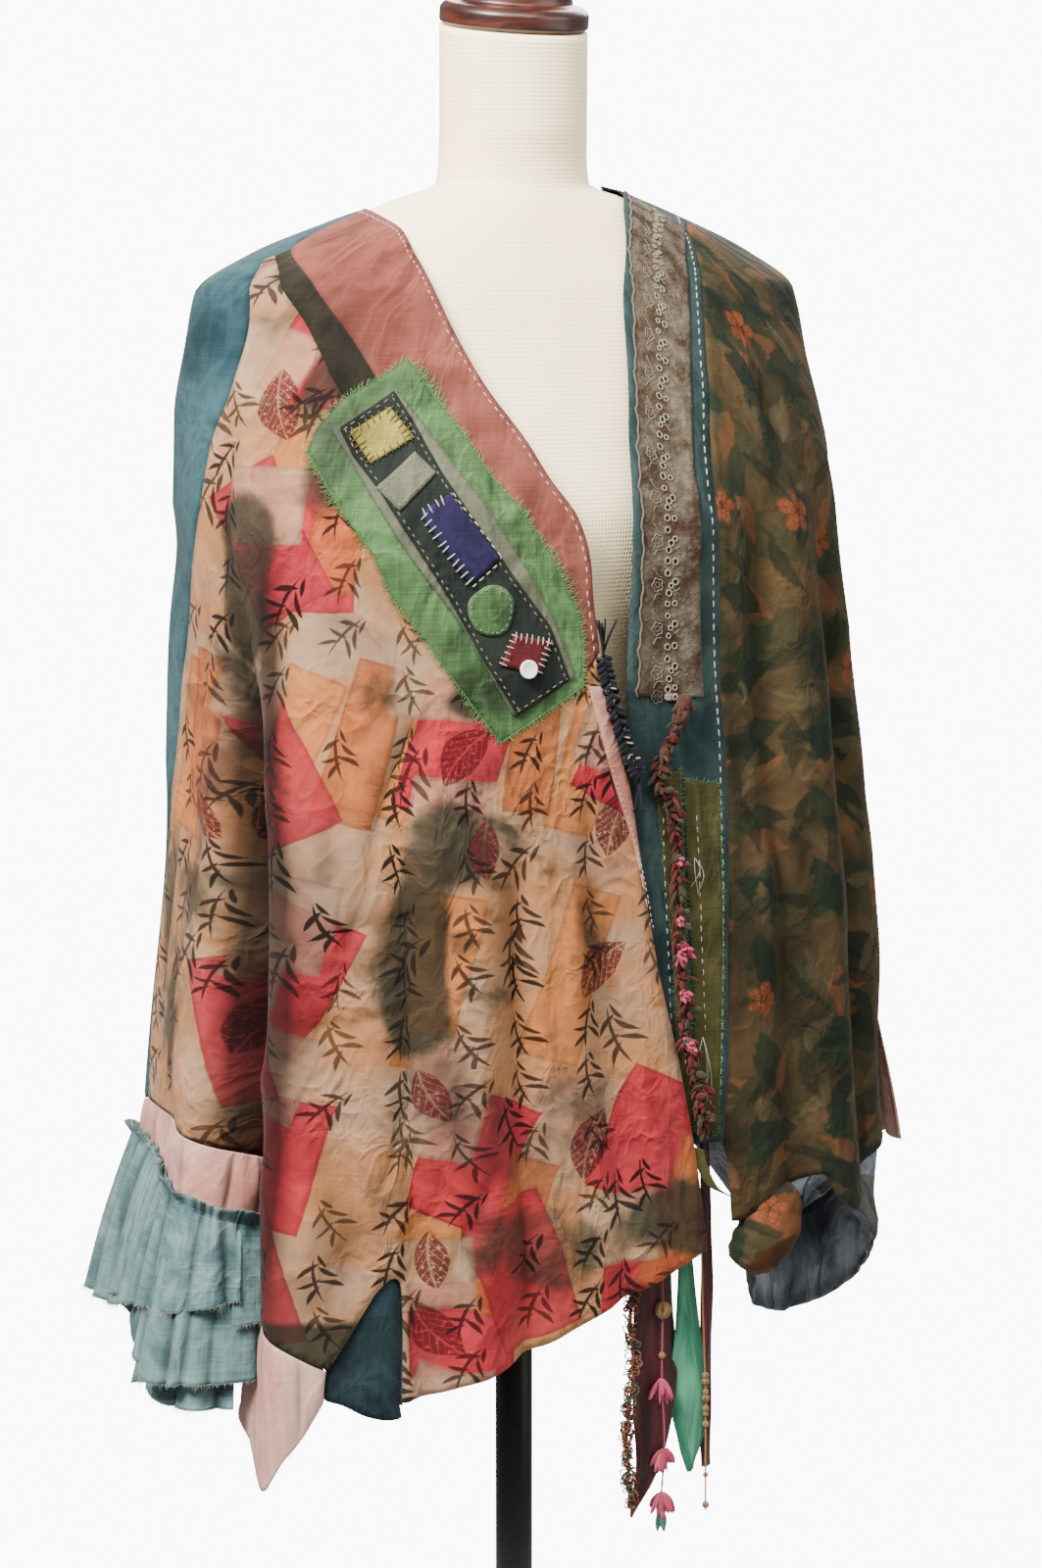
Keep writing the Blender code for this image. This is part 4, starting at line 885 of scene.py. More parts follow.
def dots(heap, flat, radius, out, sides=10):
    """Flat round black dots on spots of flat cloth that lies under the right front's: painted shade where the
    eyelets' holes are.
    """
    turns = np.linspace(0, -2 * np.pi, sides, endpoint=False)
    spots = flat[:, None] + radius * circle(turns)
    faces = np.arange(len(flat) * sides).reshape(-1, sides)[:, ::-1]
    heap.add(on_cloth(*to_place(spots), out, True).reshape(-1, 3), faces.tolist(), 0.0)


def petals(heap, roots, ways, long, wide, tone, up=(0, -1, 0), thin=0.3, sag=0.2):
    """Petals, leaves or scraps: flattened strands that swell in the middle and bend down towards the tip."""
    run = np.linspace(0, 1, 7)
    long, wide = np.broadcast_to(long, len(roots)), np.broadcast_to(wide, len(roots))
    paths = roots[:, None] + ways[:, None] * (long[:, None] * run)[..., None]
    paths = paths - np.array((0, 0, 1)) * (sag * long[:, None] * run ** 2)[..., None]
    swell = wide[:, None] * (np.sin(np.pi * (0.06 + 0.9 * run)) ** 0.8)
    sides = 6
    tones = np.repeat(np.broadcast_to(tone, len(roots)), len(run) * sides)
    heap.add(*strands(paths, swell, sides, up, thin), tones)


# The dress form

def turned(name, profile, finish, foot=(0, 0, 0), tilt=0.0, sides=96, samples=None):
    """A turned piece: the profile's radius carried round an upright axis, leaning forward by tilt."""
    rows = np.stack([profile["radius"], profile["height"]], 1)
    if samples:
        rows = resample(rows, samples)
    rows = np.concatenate([[(1e-4, rows[0, 1])], rows, [(1e-4, rows[-1, 1])]])[::-1]
    turns = np.linspace(0, 2 * np.pi, sides, endpoint=False)
    x, y = -rows[:, :1] * np.sin(turns), -rows[:, :1] * np.cos(turns)
    z = rows[:, 1:] + 0 * x
    lean = np.stack([x, y * math.cos(tilt) - z * math.sin(tilt), y * math.sin(tilt) + z * math.cos(tilt)], -1)
    return add_piece(name + "_turned", lean + foot, grid_faces(len(rows), sides, True).tolist(), finish,
        (name,))


def make_form():
    """Ovals whose sizes follow the torso's table down from the neck's slanted top."""
    turns = np.linspace(0, 360, 180, endpoint=False)
    heights = np.linspace(TORSO["height"][0], TORSO["height"][-1], 190)[:, None]
    width, *others = look_up(TORSO, heights)
    body, _ = oval(turns, heights, width, width, *others)
    ring = np.stack([-np.sin(np.radians(turns)), -np.cos(np.radians(turns))], 1)
    top = np.column_stack([NECK_RADIUS * ring, NECK_TOP + math.tan(sizes().lean) * NECK_RADIUS * ring[:, 1]])
    share = np.linspace(0, 1, 12, endpoint=False)[:, None, None]
    neck = top * (1 - share) + body[0] * share
    middle = np.array((0, 0, NECK_TOP))
    lid = middle + (top - middle) * np.array((0.002, 0.97))[:, None, None]
    foot = body[-1] * (0.97, 0.97, 1) - (0, 0, 0.004)
    floor = foot * (0.002, 0.002, 1)
    points = np.concatenate([lid, neck, body, [foot, floor]])
    torso = add_piece("form_body", points, grid_faces(*points.shape[:2], True).tolist(), "cream_jersey",
        ("form_torso",))
    turned("form_neck_cap", NECK_CAP, "mahogany", (0, 0, NECK_TOP + 0.0003), sizes().lean, samples=120)
    pole = {"radius": np.repeat(sizes().pole_radius, 2), "height": POLE_ENDS}
    turned("form_pole", pole, "black_iron")
    turned("form_base", FLOOR_BASE, "mahogany", samples=60)
    return torso


# The right side

def right_pieces():
    front = (RIGHT_STRIP_SEAM, RIGHT_BAND_SEAM[-1:], RIGHT_EDGE, RIGHT_HEM, RIGHT_ARCH, RIGHT_SLEEVE_FRONT,
        RIGHT_OVERARM[::-1])
    cloth_piece("right_front_cloth", front, "print_cloth")
    cloth_piece("right_neck_band_cloth", (RIGHT_NECK, RIGHT_BAND_SEAM[::-1]), "rust_linen", step=0.003)
    cloth_piece("dark_strip_cloth", (RIGHT_BAND_SEAM, RIGHT_STRIP_SEAM[::-1]), "strip_linen", step=0.0026,
        slot="dark_linen")
    cloth_piece("facing_cloth", (FACING[:4], FACING[3:]), "pale_pink_linen", CLOTH_TOP + PATCH_STEP, 0.0022,
        0.0008, nodes=("right_facing",))


def layer(level):
    return CLOTH_TOP + (level + 1) * PATCH_STEP


def round_outline(centre, radius, wobble=0.0):
    """A nearly round outline on the cloth, as places."""
    turns = np.linspace(0, 2 * np.pi, 25)[:-1]
    reach = radius * (1 + wobble * np.sin(3 * turns + 1) + 0.6 * wobble * np.sin(5 * turns))
    flat = to_flat(centre) + circle(turns) * reach[:, None]
    return np.stack(to_place(flat), 1)


def straight_runs(places):
    """The sides of a straight-sided piece, each a run of its own."""
    return [np.array((start, end)) for start, end in zip(places, places[1:] + places[:1])]


PATCHES = (
    ("green_patch", GREEN_PATCH, 0, "green_linen"),
    ("sage_underlay", SAGE_UNDERLAY, 1, "sage_linen"),
    ("dark_patch", DARK_PATCH, 2, "dark_linen"),
    ("yellow_patch", YELLOW_PATCH, 3, "yellow_linen"),
    ("sage_patch", SAGE_PATCH, 3, "sage_linen"),
    ("purple_patch", PURPLE_PATCH, 3, "purple_linen"),
    ("red_patch", RED_PATCH, 3, "dark_red_linen"),
)


def patch_pieces():
    for name, places, level, finish in PATCHES:
        cloth_piece(name + "_cloth", straight_runs(places), finish, layer(level), 0.0022, 0.0008,
            groove=0.0)
    disc = round_outline(DISC_CENTRE, DISC_RADIUS, 0.03)
    cloth_piece("green_disc_cloth", (np.concatenate([disc, disc[:1]]),), "green_linen", layer(3), 0.0018,
        0.0008, groove=0.0003)


def patch_sewing():
    """Stitches and frayed edges of the applied strip, and the running stitches along the neckline."""
    white, fray = Heap(), Heap()
    stitches(white, RIGHT_NECK, CLOTH_TOP, sizes().neckline_pitch, radius=0.00055, shift=0.0046, seed=2)
    stitches(white, FACING[1:4], layer(0), 0.0045, radius=0.0003, shift=-0.0016, seed=3)
    whips(white, PURPLE_PATCH, layer(3), 0.0056, 0.0075, 0.0005, seed=4, sides=(0, 3))
    stitches(white, PURPLE_PATCH[1:4], layer(3), 0.0068, radius=0.0005, shift=-0.0022, seed=5, smooth=False)
    whips(white, RED_PATCH, layer(3), 0.0042, 0.0062, 0.0005, seed=6, sides=(0, 1, 3))
    white.piece("white_stitches", "white_thread", slot="white_shell")
    dull = Heap()
    whips(dull, YELLOW_PATCH, layer(3), 0.005, 0.008, 0.0005, tone=0.0, seed=7)
    stitches(dull, SAGE_PATCH, layer(3), 0.005, shift=-0.003, tone=0.5, seed=8, smooth=False, closed=True)
    disc = round_outline(DISC_CENTRE, DISC_RADIUS - 0.0022, 0.03)
    stitches(dull, disc, layer(3), 0.0044, radius=0.0003, tone=0.5, seed=9, closed=True)
    stitches(dull, DARK_PATCH, layer(2), 0.0062, radius=0.0005, shift=-0.003, tone=0.25, seed=10,
        smooth=False, closed=True)
    dull.piece("coloured_stitches", "patch_thread", slot="yellow_linen")
    fringe(fray, GREEN_PATCH, layer(0), sizes().green_fray, 0.0007, 0.00022, seed=11, tone=0.5)
    fringe(fray, SAGE_UNDERLAY, layer(1), 0.002, 0.0014, seed=12, tone=0.2)
    fringe(fray, YELLOW_PATCH, layer(3), 0.0022, 0.0012, seed=13, tone=0.9)
    fray.piece("patch_fraying", "green_thread", slot="green_linen")


def right_cuff(fray):
    """A gathered band below the sleeve's end, pleated between creases and closed behind the arm."""
    run = np.concatenate([resample(RIGHT_SLEEVE_FRONT, 60), resample(RIGHT_SLEEVE_BACK, 30)[1:]])
    angle = np.linspace(57.7, 125, 460)
    top = np.interp(angle, *run.T) - 0.0004
    depth, = look_up(CUFF_DEPTH, angle)
    share = np.linspace(0, 1, 26)[:, None]
    along = running_length(on_cloth(angle, top))
    phase = along * 105 + 0.9 * np.sin(along * 60)
    pleat = np.abs(np.sin(phase)) ** 0.55
    swell = (0.005 * pleat - 0.002) * np.sin(np.pi * (0.06 + 0.8 * share)) - 0.0004
    flap = 0.02 * share ** 1.4 * np.exp(-((angle - 68.0) / 2.2) ** 2)
    facet = 0.006 * share * (1 - np.abs(np.clip((angle - 63.2) / 3.5, -1, 1)))
    outer = on_cloth(angle + 0.25 * np.cos(phase) * share, top - depth * share, 0.0014 + swell + flap + facet)
    steps = np.linspace(0, 1, 40)[1:-1, None]
    back, front = outer[:, -1:], outer[:, :1]
    inner = back * (1 - steps) + front * steps + np.sin(np.pi * steps) * (-0.008, 0, 0)
    points = np.concatenate([outer, inner], 1)
    # Painted shade in the pleats' creases, and an even painted shade on the inner side, carried as the tone.
    painted_crease_shade = 0.9 * (1 - pleat) ** 1.5 * np.exp(-((share - 0.55) / 0.5) ** 2)
    tone = np.concatenate([painted_crease_shade, np.full(inner.shape[:2], 0.5)], 1)
    loft("right_cuff_cloth", points, "cuff_linen", ("right_cuff_band",), 0.0012, True, "pale_pink_linen",
        tone)
    edge_fringe(fray, outer, 0.004, seed=31, tone=0.8)


def ruffle_pleats(along, share, pitch):
    """How far the ruffle's pleats stand out, how far they lean round and how much shade is painted in their
    creases: |sin phase| leaves sharp creases between rounded pleats, the phase drifting so that no two are
    alike."""
    run = along * np.pi / pitch
    phase = (run + 1.1 * np.sin(run * 0.31 + 1) + 0.6 * np.sin(run * 0.83 + 2)
        + 0.35 * share * np.sin(run * 0.5))
    open_out = np.clip(share, 0, 1) ** 0.5
    strong = 0.62 + 0.38 * np.sin(run * 0.47 + 0.4)
    swell = np.abs(np.sin(phase)) ** 0.65
    tight = np.abs(np.sin(2.6 * phase + 0.6))
    out = strong * swell * 0.0085 * open_out + 0.002 * tight * (1 - open_out)
    painted_crease_shade = ((1 - swell) ** 1.3 * (0.5 + 0.5 * strong) * fade(1.6 - share) * 1.5
        + 0.35 * (1 - tight) * (1 - open_out))
    return out, 0.35 * open_out * np.cos(phase) * strong, painted_crease_shade


def ruffle_tier(name, nodes, foot, lift, seed, start, end, fray, top=None, ragged=0.004, header=0.0):
    """A tier of ruffle from a gathering line down to an uneven raw edge, flaring as it drops. A header of
    tight puckers stands up above the line."""
    angle = np.linspace(start, end, int((end - start) * 12) + 1)
    high = look_up(RUFFLE_TOP, angle)[0] if top is None else top + 0 * angle
    uneven = noise(np.stack([angle * 0.35, 0 * angle + seed, 0 * angle], 1), 1.0, seed)
    low = dict(zip(("long", "short"), look_up(RUFFLE_FOOT, angle))).get(foot, foot)
    drop = high - low + ragged * uneven
    header_shares = np.linspace(-header, 0, 5)[:-1] if header else []
    share = np.concatenate([header_shares, np.linspace(0, 1, 34)])[:, None]
    along = running_length(on_cloth(angle, high, lift))
    out, swing, painted_crease_shade = ruffle_pleats(along, share, sizes().pleat_pitch)
    above = np.clip(-share, 0, 1) / max(header, 1e-6)
    puckers = np.abs(np.sin(np.radians(angle) * 62 + 1.2 * np.sin(np.radians(angle) * 37)))
    out = lift + out + 0.022 * np.clip(share, 0, 1) * drop / 0.1 + above * (0.0012 + 0.005 * puckers)
    height = np.where(share < 0, high - share * 0.1, high - drop * share)
    height = height + above * 0.0012 * np.cos(np.radians(angle) * 130)
    points = on_cloth(angle + swing * 0.6, height, out)
    # The tone is the painted shade in the pleats' creases.
    loft(name, points, "ruffle_linen", nodes, 0.0008, False, "teal_linen", painted_crease_shade + 0 * points[..., 0])
    edge_fringe(fray, points, 0.0052, seed=seed + 40, tone=0.15)
    if header:
        edge_fringe(fray, points[::-1], 0.0034, 0.0006, seed=seed + 60, tone=0.0)


def right_ruffles():
    """The cuff, two tiers, and a tab and a tail that hang loose over and under them."""
    fray = Heap()
    right_cuff(fray)
    ruffle_tier("ruffle_tail_cloth", (), 0.56, 0.0012, 3, 74.5, 86, fray, top=0.64)
    ruffle_tier("ruffle_long_cloth", ("right_ruffle_long",), "long", 0.0032, 1, 69.8, 120, fray)
    ruffle_tier("ruffle_short_cloth", ("right_ruffle_short",), "short", 0.0068, 2, 74.6, 120, fray,
        header=0.085)
    ruffle_tier("ruffle_tab_cloth", (), 0.617, 0.0088, 4, 69.8, 75.0, fray, ragged=0.001, header=0.085)
    fray.piece("cuff_fraying", "pale_fray", slot="teal_linen")


def underarms():
    """The right side panel bows from the front's arch to the back's. The left one is upright."""
    front = on_cloth(*resample(RIGHT_ARCH, 50).T, -0.0008)
    back = on_cloth(*resample(RIGHT_BACK_ARCH[::-1], 50).T, -0.0008)
    share = np.linspace(0, 1, 50)[:, None, None]
    bow = front * (1 - share) + back * share + np.sin(np.pi * share) * (-0.006, 0, 0.004)
    bow = bow + np.sin(np.pi * share) * 0.003 * noise(bow, 0.05, 8)[..., None] * (0, 0, 1)
    # The right side panel and its fold take a darker copy of the teal linen: painted shade under the arm.
    loft("right_underarm_cloth", bow, "side_linen", ("right_underarm",), 0.0012, slot="teal_linen",
        held="hung")
    cloth_piece("right_underarm_fold", (RIGHT_ARCH, SIDE_FOLD), "side_linen", -0.0012, 0.003, nodes=(),
        slot="teal_linen")
    line = smooth_rows(LEFT_UNDERARM, 60)
    lift = np.linspace(1, 0, 14)[:, None]
    x, y, z = line.T
    points = np.stack([x + 0 * lift, y + 0 * lift, z + (LEFT_UNDERARM_TOP - z) * lift], -1)
    points[..., 0] += 0.0015 * noise(points, 0.03, 9) * np.sin(np.pi * lift)
    loft("left_underarm_cloth", points, "teal_linen", ("left_underarm",), 0.0012, held="hung")


def around(run):
    return tuple((angle + 360, height) for angle, height in run)


def back_piece():
    shoulder_right = (RIGHT_OVERARM[0], RIGHT_STRIP_SEAM[0], RIGHT_BAND_SEAM[0], RIGHT_NECK[0])
    shoulder_left = around((LEFT_NECK[0], LEFT_BAND_SEAM[0], LEFT_OVERARM[0]))
    runs = (RIGHT_OVERARM[::-1], shoulder_right[:2], shoulder_right[1:3], shoulder_right[2:], BACK_NECK,
        shoulder_left[:2], shoulder_left[1:], around(LEFT_OVERARM), LEFT_SLEEVE_BACK[::-1], BACK_HEM[::-1],
        RIGHT_BACK_ARCH[::-1], RIGHT_SLEEVE_BACK[::-1])
    cloth_piece("back_cloth", runs, "teal_linen", nodes=("back_panel",))


# The left side

def left_pieces():
    cloth_piece("left_band_cloth", (LEFT_NECK, LEFT_BAND_SEAM[::-1]), "dark_teal_linen", step=0.0036,
        under=True)
    cloth_piece("left_front_cloth", (LEFT_BAND_SEAM, LEFT_SLEEVE_FRONT, LEFT_OVERARM[::-1]), "flower_cloth",
        under=True)
    for name, runs, finish, node in (
        ("eyelet_trim_cloth", (scalloped(TRIM_LEFT), TRIM_RIGHT[::-1]), "eyelet_lace", "eyelet_trim"),
        ("olive_patch_cloth", straight_runs(OLIVE_PATCH), "olive_linen", "olive_patch"),
        ("olive_edge_cloth", straight_runs(OLIVE_EDGE), "olive_linen", "olive_patch_edge"),
    ):
        cloth_piece(name, runs, finish, layer(0), 0.0022, 0.0008, True, 0.0, (node,))


def left_cuff_ring():
    """The ring where the cuff leaves the sleeve, and each spot's turn round the cuff's middle."""
    front = on_cloth(np.linspace(-48, -98, 60), LEFT_CUFF_TOP, -0.0016, True)
    back = on_cloth(np.linspace(257, 241, 20), LEFT_CUFF_TOP, -0.0016)
    x, y = LEFT_UNDERARM["x"], LEFT_UNDERARM["y"]
    side = resample(np.stack([x + 0.004, y, LEFT_CUFF_TOP + 0 * x], 1), 40)[::-1]
    ring = np.concatenate([front, back, side[3:-3]])
    ring = np.concatenate([ring, ring[:1]])
    along = running_length(ring)
    even = np.linspace(0, along[-1], 240, endpoint=False)
    ring = np.stack([np.interp(even, along, column) for column in ring.T], 1)[::-1]
    return ring, np.arctan2(ring[:, 0] - LEFT_CUFF_CENTRE[0], LEFT_CUFF_CENTRE[1] - ring[:, 1])


def left_cuff():
    """Each spot of the ring slides into an oval cup whose end slants, with creases that deepen downwards."""
    ring, turn = left_cuff_ring()
    degrees = np.degrees(turn) % 360
    ends, = look_up(LEFT_CUFF_END, degrees)
    share = np.linspace(0, 1, 56)[:, None]
    gather = fade(share * 1.2)
    for name, shrink, finish, node in (("left_cuff_cloth", 1.0, "grey_teal_cotton", ("left_cuff",)),
            ("left_cuff_lining", 0.95, "lining_cotton", ())):
        crease = shrink * (1 + share * (0.034 * np.sin(turn * 7) + 0.022 * np.sin(turn * 16 + 3 * share + 1)
            + 0.014 * np.sin(turn * 29 - 5 * share)))
        curl = 0.0035 * fade((share - 0.93) / 0.07)
        x = LEFT_CUFF_CENTRE[0] + (LEFT_CUFF_RADII[0] * crease - curl) * np.sin(turn)
        y = LEFT_CUFF_CENTRE[1] - (LEFT_CUFF_RADII[1] * crease - curl) * np.cos(turn)
        cup = np.stack([x, y, LEFT_CUFF_TOP + (ends - LEFT_CUFF_TOP) * share], -1)
        wrinkled = 0.003 * (1 - 2 * np.abs(noise(cup * (1, 1, 0.5), 0.022, 4))) * share
        cup = cup + wrinkled[..., None] * np.stack([np.sin(turn), -np.cos(turn), 0 * turn], 1)
        gathered = gather[..., None]
        points = ring * (1 - gathered) * (1, 1, 0) + cup * (gathered * (1, 1, 0) + (0, 0, 1))
        # Painted shade, darker at the cuff's rolled rim and in stripes round it, carried as the tone.
        dark = 0.9 * fade((share - 0.86) / 0.12) + 0.5 * (0.5 - 0.5 * np.sin(turn * 9 + 2.5 * share))
        way = 1 if node else -1
        loft(name, points[:, ::way], finish, node, 0.0012, True, "grey_teal_cotton", dark[:, ::way])


def left_roll():
    """A rolled bulge of cloth: a tube of the table's radii, wrinkled across."""
    fine = 60
    rows = smooth_rows(LEFT_ROLL, fine)
    middle = on_cloth(rows[:, 0], rows[:, 1], 0.001, True)
    ahead = unit(np.gradient(middle, axis=0))
    across = unit(np.cross(ahead, (0, 1, 0)))
    front = np.cross(across, ahead)
    turns = np.linspace(2 * np.pi, 0, 64, endpoint=False)
    wave = 1 + 0.05 * np.sin(np.linspace(0, 40, fine))[:, None] * np.cos(turns) ** 2
    to_end = np.minimum(np.arange(fine), np.arange(fine)[::-1])
    close = np.minimum(1, to_end / 4 + 0.02)[:, None] ** 0.5
    reach = (rows[:, 2:] * wave * close)[..., None]
    cos, sin = circle(turns).T[..., None]
    points = middle[:, None] + reach * (across[:, None] * cos + front[:, None] * sin)
    points = points + 0.0012 * noise(points, 0.02, 6)[..., None] * unit(points - middle[:, None])
    made = loft("left_roll_cloth", points, "roll_cloth", ("left_cuff_roll",), 0, True, "flower_cloth",
        held=None)


def left_frill():
    """A frill down the back of the sleeve, flaring in waves towards its raw edge."""
    run = np.linspace(0, 1, 110)
    angle = -75.8 - 16.2 * run
    share = np.linspace(0, 1, 36)[:, None]
    wave = np.sin(2 * np.pi * (4 * run + 0.12 * np.sin(9 * run)))
    out = 0.0036 + 0.019 * share ** 0.7 + wave * (0.0005 + 0.0034 * share)
    points = on_cloth(angle, 0.795 - 0.12 * share * (1 + 0.03 * np.sin(21 * run)), out, True)[:, ::-1]
    # The tone is painted shade, darker where the frill's waves fall back.
    loft("left_frill_cloth", points, "cuff_linen", ("left_cuff_frill",), 0.0009, False, "pale_pink_linen",
        (0.3 - 0.3 * wave + 0 * share)[:, ::-1])
    fray = Heap()
    edge_fringe(fray, points, 0.006, 0.0006, seed=41, tone=1.0)
    fray.piece("left_frill_fraying", "pale_fray", slot="pale_pink_linen")


def scalloped(run, deep=0.0026):
    """A seam line that bulges out to its right in rounded scallops."""
    place, long = even_line(run)
    pitch = sizes().scallop_pitch
    at = np.linspace(0, long, SCALLOPED_PLACES)
    spots, left = place(at)
    bulge = deep * (np.abs(np.sin(np.pi * at / pitch)) ** 0.6 - 0.6) + 0.0005 * np.sin(at / 0.0021)
    return np.stack(to_place(spots - left * bulge[:, None]), 1)


def trim_spots(along, across):
    """Spots on the lace trim: metres down its middle line and to its right."""
    left, right = (to_flat(resample(run, 300)) for run in (TRIM_LEFT, TRIM_RIGHT))
    middle = (left + right) / 2
    length = running_length(middle)
    spot, way = (np.stack([np.interp(along, length, column) for column in line.T], -1)
        for line in (middle, unit(right - left)))
    return spot + np.asarray(across)[..., None] * way


# One repeat of the lace, in millimetres to the right of its middle line and down: eyelets, and bent stems
EYELETS = ((-2.7, -10.9), (3.6, -6.3), (0.0, -2.7), (-1.8, 2.7), (-2.7, 10.5), (3.6, 9.1))
STEMS = (((-8.0, -7.0), (-15.5, -12.0), 2.0), ((-8.0, 5.0), (-15.0, 10.0), -2.0),
    ((0.5, -1.5), (8.0, 3.0), -1.2), ((2.0, 0.5), (7.5, -3.0), 0.8))
LACE_PITCH, LACE_LENGTH = 0.03, 0.8


def trim_embroidery():
    """Eyelets with worked rings, flowers of five loops, stems, and a corded scalloped edge."""
    heap = Heap()
    centres = np.arange(0.02, LACE_LENGTH, LACE_PITCH)
    eyelets = np.array([(y / 1000 + c, x / 1000) for c in centres for x, y in EYELETS])
    eyelets = eyelets + 0.0006 * (np.random.default_rng(5).random(eyelets.shape) - 0.5)
    spots = trim_spots(eyelets[:, 0], eyelets[:, 1])
    big = scatter(len(spots), 3) > 0.3
    for kind, radius in ((big, sizes().eyelet_radius), (~big, 0.82 * sizes().eyelet_radius)):
        ring = spots[kind][:, None] + radius * circle(np.linspace(0, 2 * np.pi, 15))
        heap.lay(ring, layer(0) + 0.0003, 0.00058, 0.9, 5, True)
        # Black dots fill the eyelets' holes as painted shade.
        dots(heap, spots[kind], radius * 0.66, layer(0) + 0.00012)
    turns = np.linspace(0, 2 * np.pi, 61)
    flowers = trim_spots(centres - 0.001, np.full(len(centres), -0.0118))[:, None]
    for reach, thick, tone in ((0.005, 0.00042, 0.75), (0.0022, 0.00035, 0.65)):
        petal = reach * (0.68 + 0.32 * np.abs(np.cos(2.5 * turns)))
        heap.lay(flowers + petal[:, None] * circle(turns), layer(0) + 0.0002, thick, tone, 4, True)
    run = np.linspace(0, 1, 9)[:, None]
    for start, end, bend in STEMS:
        line = np.array(start) * (1 - run) + np.array(end) * run + bend * np.sin(np.pi * run) * (0.5, 1)
        across, down = line.T / 1000
        stems = trim_spots(centres[:, None] + down, np.broadcast_to(across, (len(centres), len(run))))
        heap.lay(stems, layer(0) + 0.0002, 0.0004, 0.7, 4, True)
    edge, normal = cloth_frame(*scalloped(TRIM_LEFT).T, layer(0) + 0.0001, True)
    heap.strand(edge, 0.0008, 0.62, 6, normal)
    heap.piece("eyelet_embroidery", "lace_thread", slot="eyelet_lace")


def left_sewing():
    """Running stitches down the left band and the olive strips, and their loose threads."""
    white = Heap()
    stitches(white, LEFT_BAND_SEAM[:-1] + ((-27.8, 0.728),), CLOTH_TOP, sizes().band_pitch, 0.62, 0.0006,
        0.007, True, seed=21)
    for angle in (-13.6, -17.4):
        stitches(white, ((angle, 0.962), (angle - 0.6, 0.86), (angle - 0.9, 0.78)), layer(0), 0.0088,
            share=0.45, under=True, seed=22)
    stitches(white, ((-22.8, 0.962), (-23.2, 0.86), (-23.4, 0.8)), layer(0), 0.008, under=True, seed=23)
    rng = np.random.default_rng(8)
    run = np.linspace(0, 1, 14)
    for count, root, long in ((5, (-22.6, 0.8), 0.085), (3, (-17.5, 0.88), 0.05),
            (3, (-21.6, 0.93), 0.04)):
        bend = rng.random((count, 3)) - 0.5
        flat = to_flat(root) + np.stack([0.01 * bend[:, :1] * run + 0.012 * bend[:, 1:2] * np.sin(4 * run),
            -long * (0.7 + 0.5 * bend[:, 2:]) * run], -1)
        white.lay(flat, layer(1) + 0.002 * np.sin(np.pi * run), 0.00022, 0.4, 4, True)
    white.piece("left_stitches", "white_thread", slot="white_shell")
    fray = Heap()
    for outline in (OLIVE_PATCH, OLIVE_EDGE):
        fringe(fray, outline, layer(0), 0.0045, 0.0016, seed=24, under=True, tone=0.5)
    fray.piece("olive_fraying", "green_thread", slot="olive_linen")


# Hanging pieces

RIBBONS = (
    ("maroon_ribbon", "right", 0.0095, table("x z forward half", (33, 662, 0, 15), (33, 615, 1, 16),
        (34, 560, 2, 18), (32, 505, 3, 14), (24, 470, 4, 9), (14, 447, 4, 1.5))),
    ("maroon_ribbon_narrow", "left", 0.003, table("x z forward half", (74, 734, 0, 4), (77, 660, 0, 4.5),
        (78, 600, 0, 5), (78, 530, 0, 5), (78, 474, 1, 4))),
    ("green_ribbon", "right", 0.0095, table("x z forward half", (57.5, 664, 0, 4), (60, 622, 2, 7),
        (60.5, 575, 4, 11.5), (61.5, 530, 5, 15), (63, 495, 5, 10), (63, 474, 5, 4))),
)
BOUCLE_LINE = table("x z forward", (12, 634, 0), (12.5, 611, 0), (10, 560, 7), (5, 509, 8), (8, 457, 8))
TUFT_LINE = table("x z forward", (37, 645, 0), (38, 604, 1), (37, 554, 2), (39, 501, 3), (36, 453, 3))
TAN_LINE = table("x z forward", (69.5, 660, 0.7), (71, 600, 1.5), (74, 519, 2), (74, 443, 3))


def hanging_line(line, room, left=False, count=60):
    """A hanging line as x, y, z and any half width. It starts room behind the cloth that carries it."""
    rows = smooth_rows(line, count)
    angle = np.linspace(-40, 20, 400)
    carrier = on_cloth(angle, rows[0, 1], -room, left)
    y = np.interp(-rows[0, 0], -carrier[::-1, 0], carrier[::-1, 1])
    return np.column_stack([rows[:, 0], y - rows[:, 2], rows[:, 1], rows[:, 3:]])


def ribbons():
    """A flat strip across each line, cupped forward, with a slow twist and ripples that grow downwards."""
    across = np.linspace(1, -1, 13)
    for name, side, room, line in RIBBONS:
        rows = hanging_line(line, room, side == "left", 90)
        run = np.linspace(0, 1, len(rows))[:, None]
        half = rows[:, 3:]
        twist = 0.25 * np.sin(9 * run + len(name)) * run
        x = rows[:, :1] + half * across * np.cos(twist)
        y = rows[:, 1:2] - 0.002 * (1 - across ** 2) + half * across * np.sin(twist)
        y = y + 0.0012 * run * np.sin(2 * np.pi * (3 * run + 0.4 * across))
        points = np.stack([x, y, rows[:, 2:3] + 0 * x], -1)
        loft(name + "_cloth", points, name.split("_")[0] + "_silk", (name,), 0.0006, held="hung")


# Down the yarns, by height: pink tufts, and knotted beads with their radii
TUFT_HEIGHTS = (0.5475, 0.495, 0.4615)
TUFT_BEADS = ((0.6, 0.0062, 5), (0.566, 0.0026, 6))
TAN_BEADS = ((0.546, 0.0026), (0.541, 0.003), (0.534, 0.0024), (0.529, 0.003), (0.522, 0.0026),
    (0.515, 0.0022), (0.509, 0.0026), (0.47, 0.002), (0.447, 0.0026))


def thin_yarn(name, line, room, finish, tone):
    """A yarn of 1.6 mm down its line: its path and its strand."""
    path = hanging_line(line, room)[:, :3]
    heap = Heap()
    heap.strand(path, 0.0008, tone)
    return path, heap.piece(name + "_strand", finish, nodes=(name,))


def at_height(path, height):
    return np.argmin(np.abs(path[:, 2] - height))


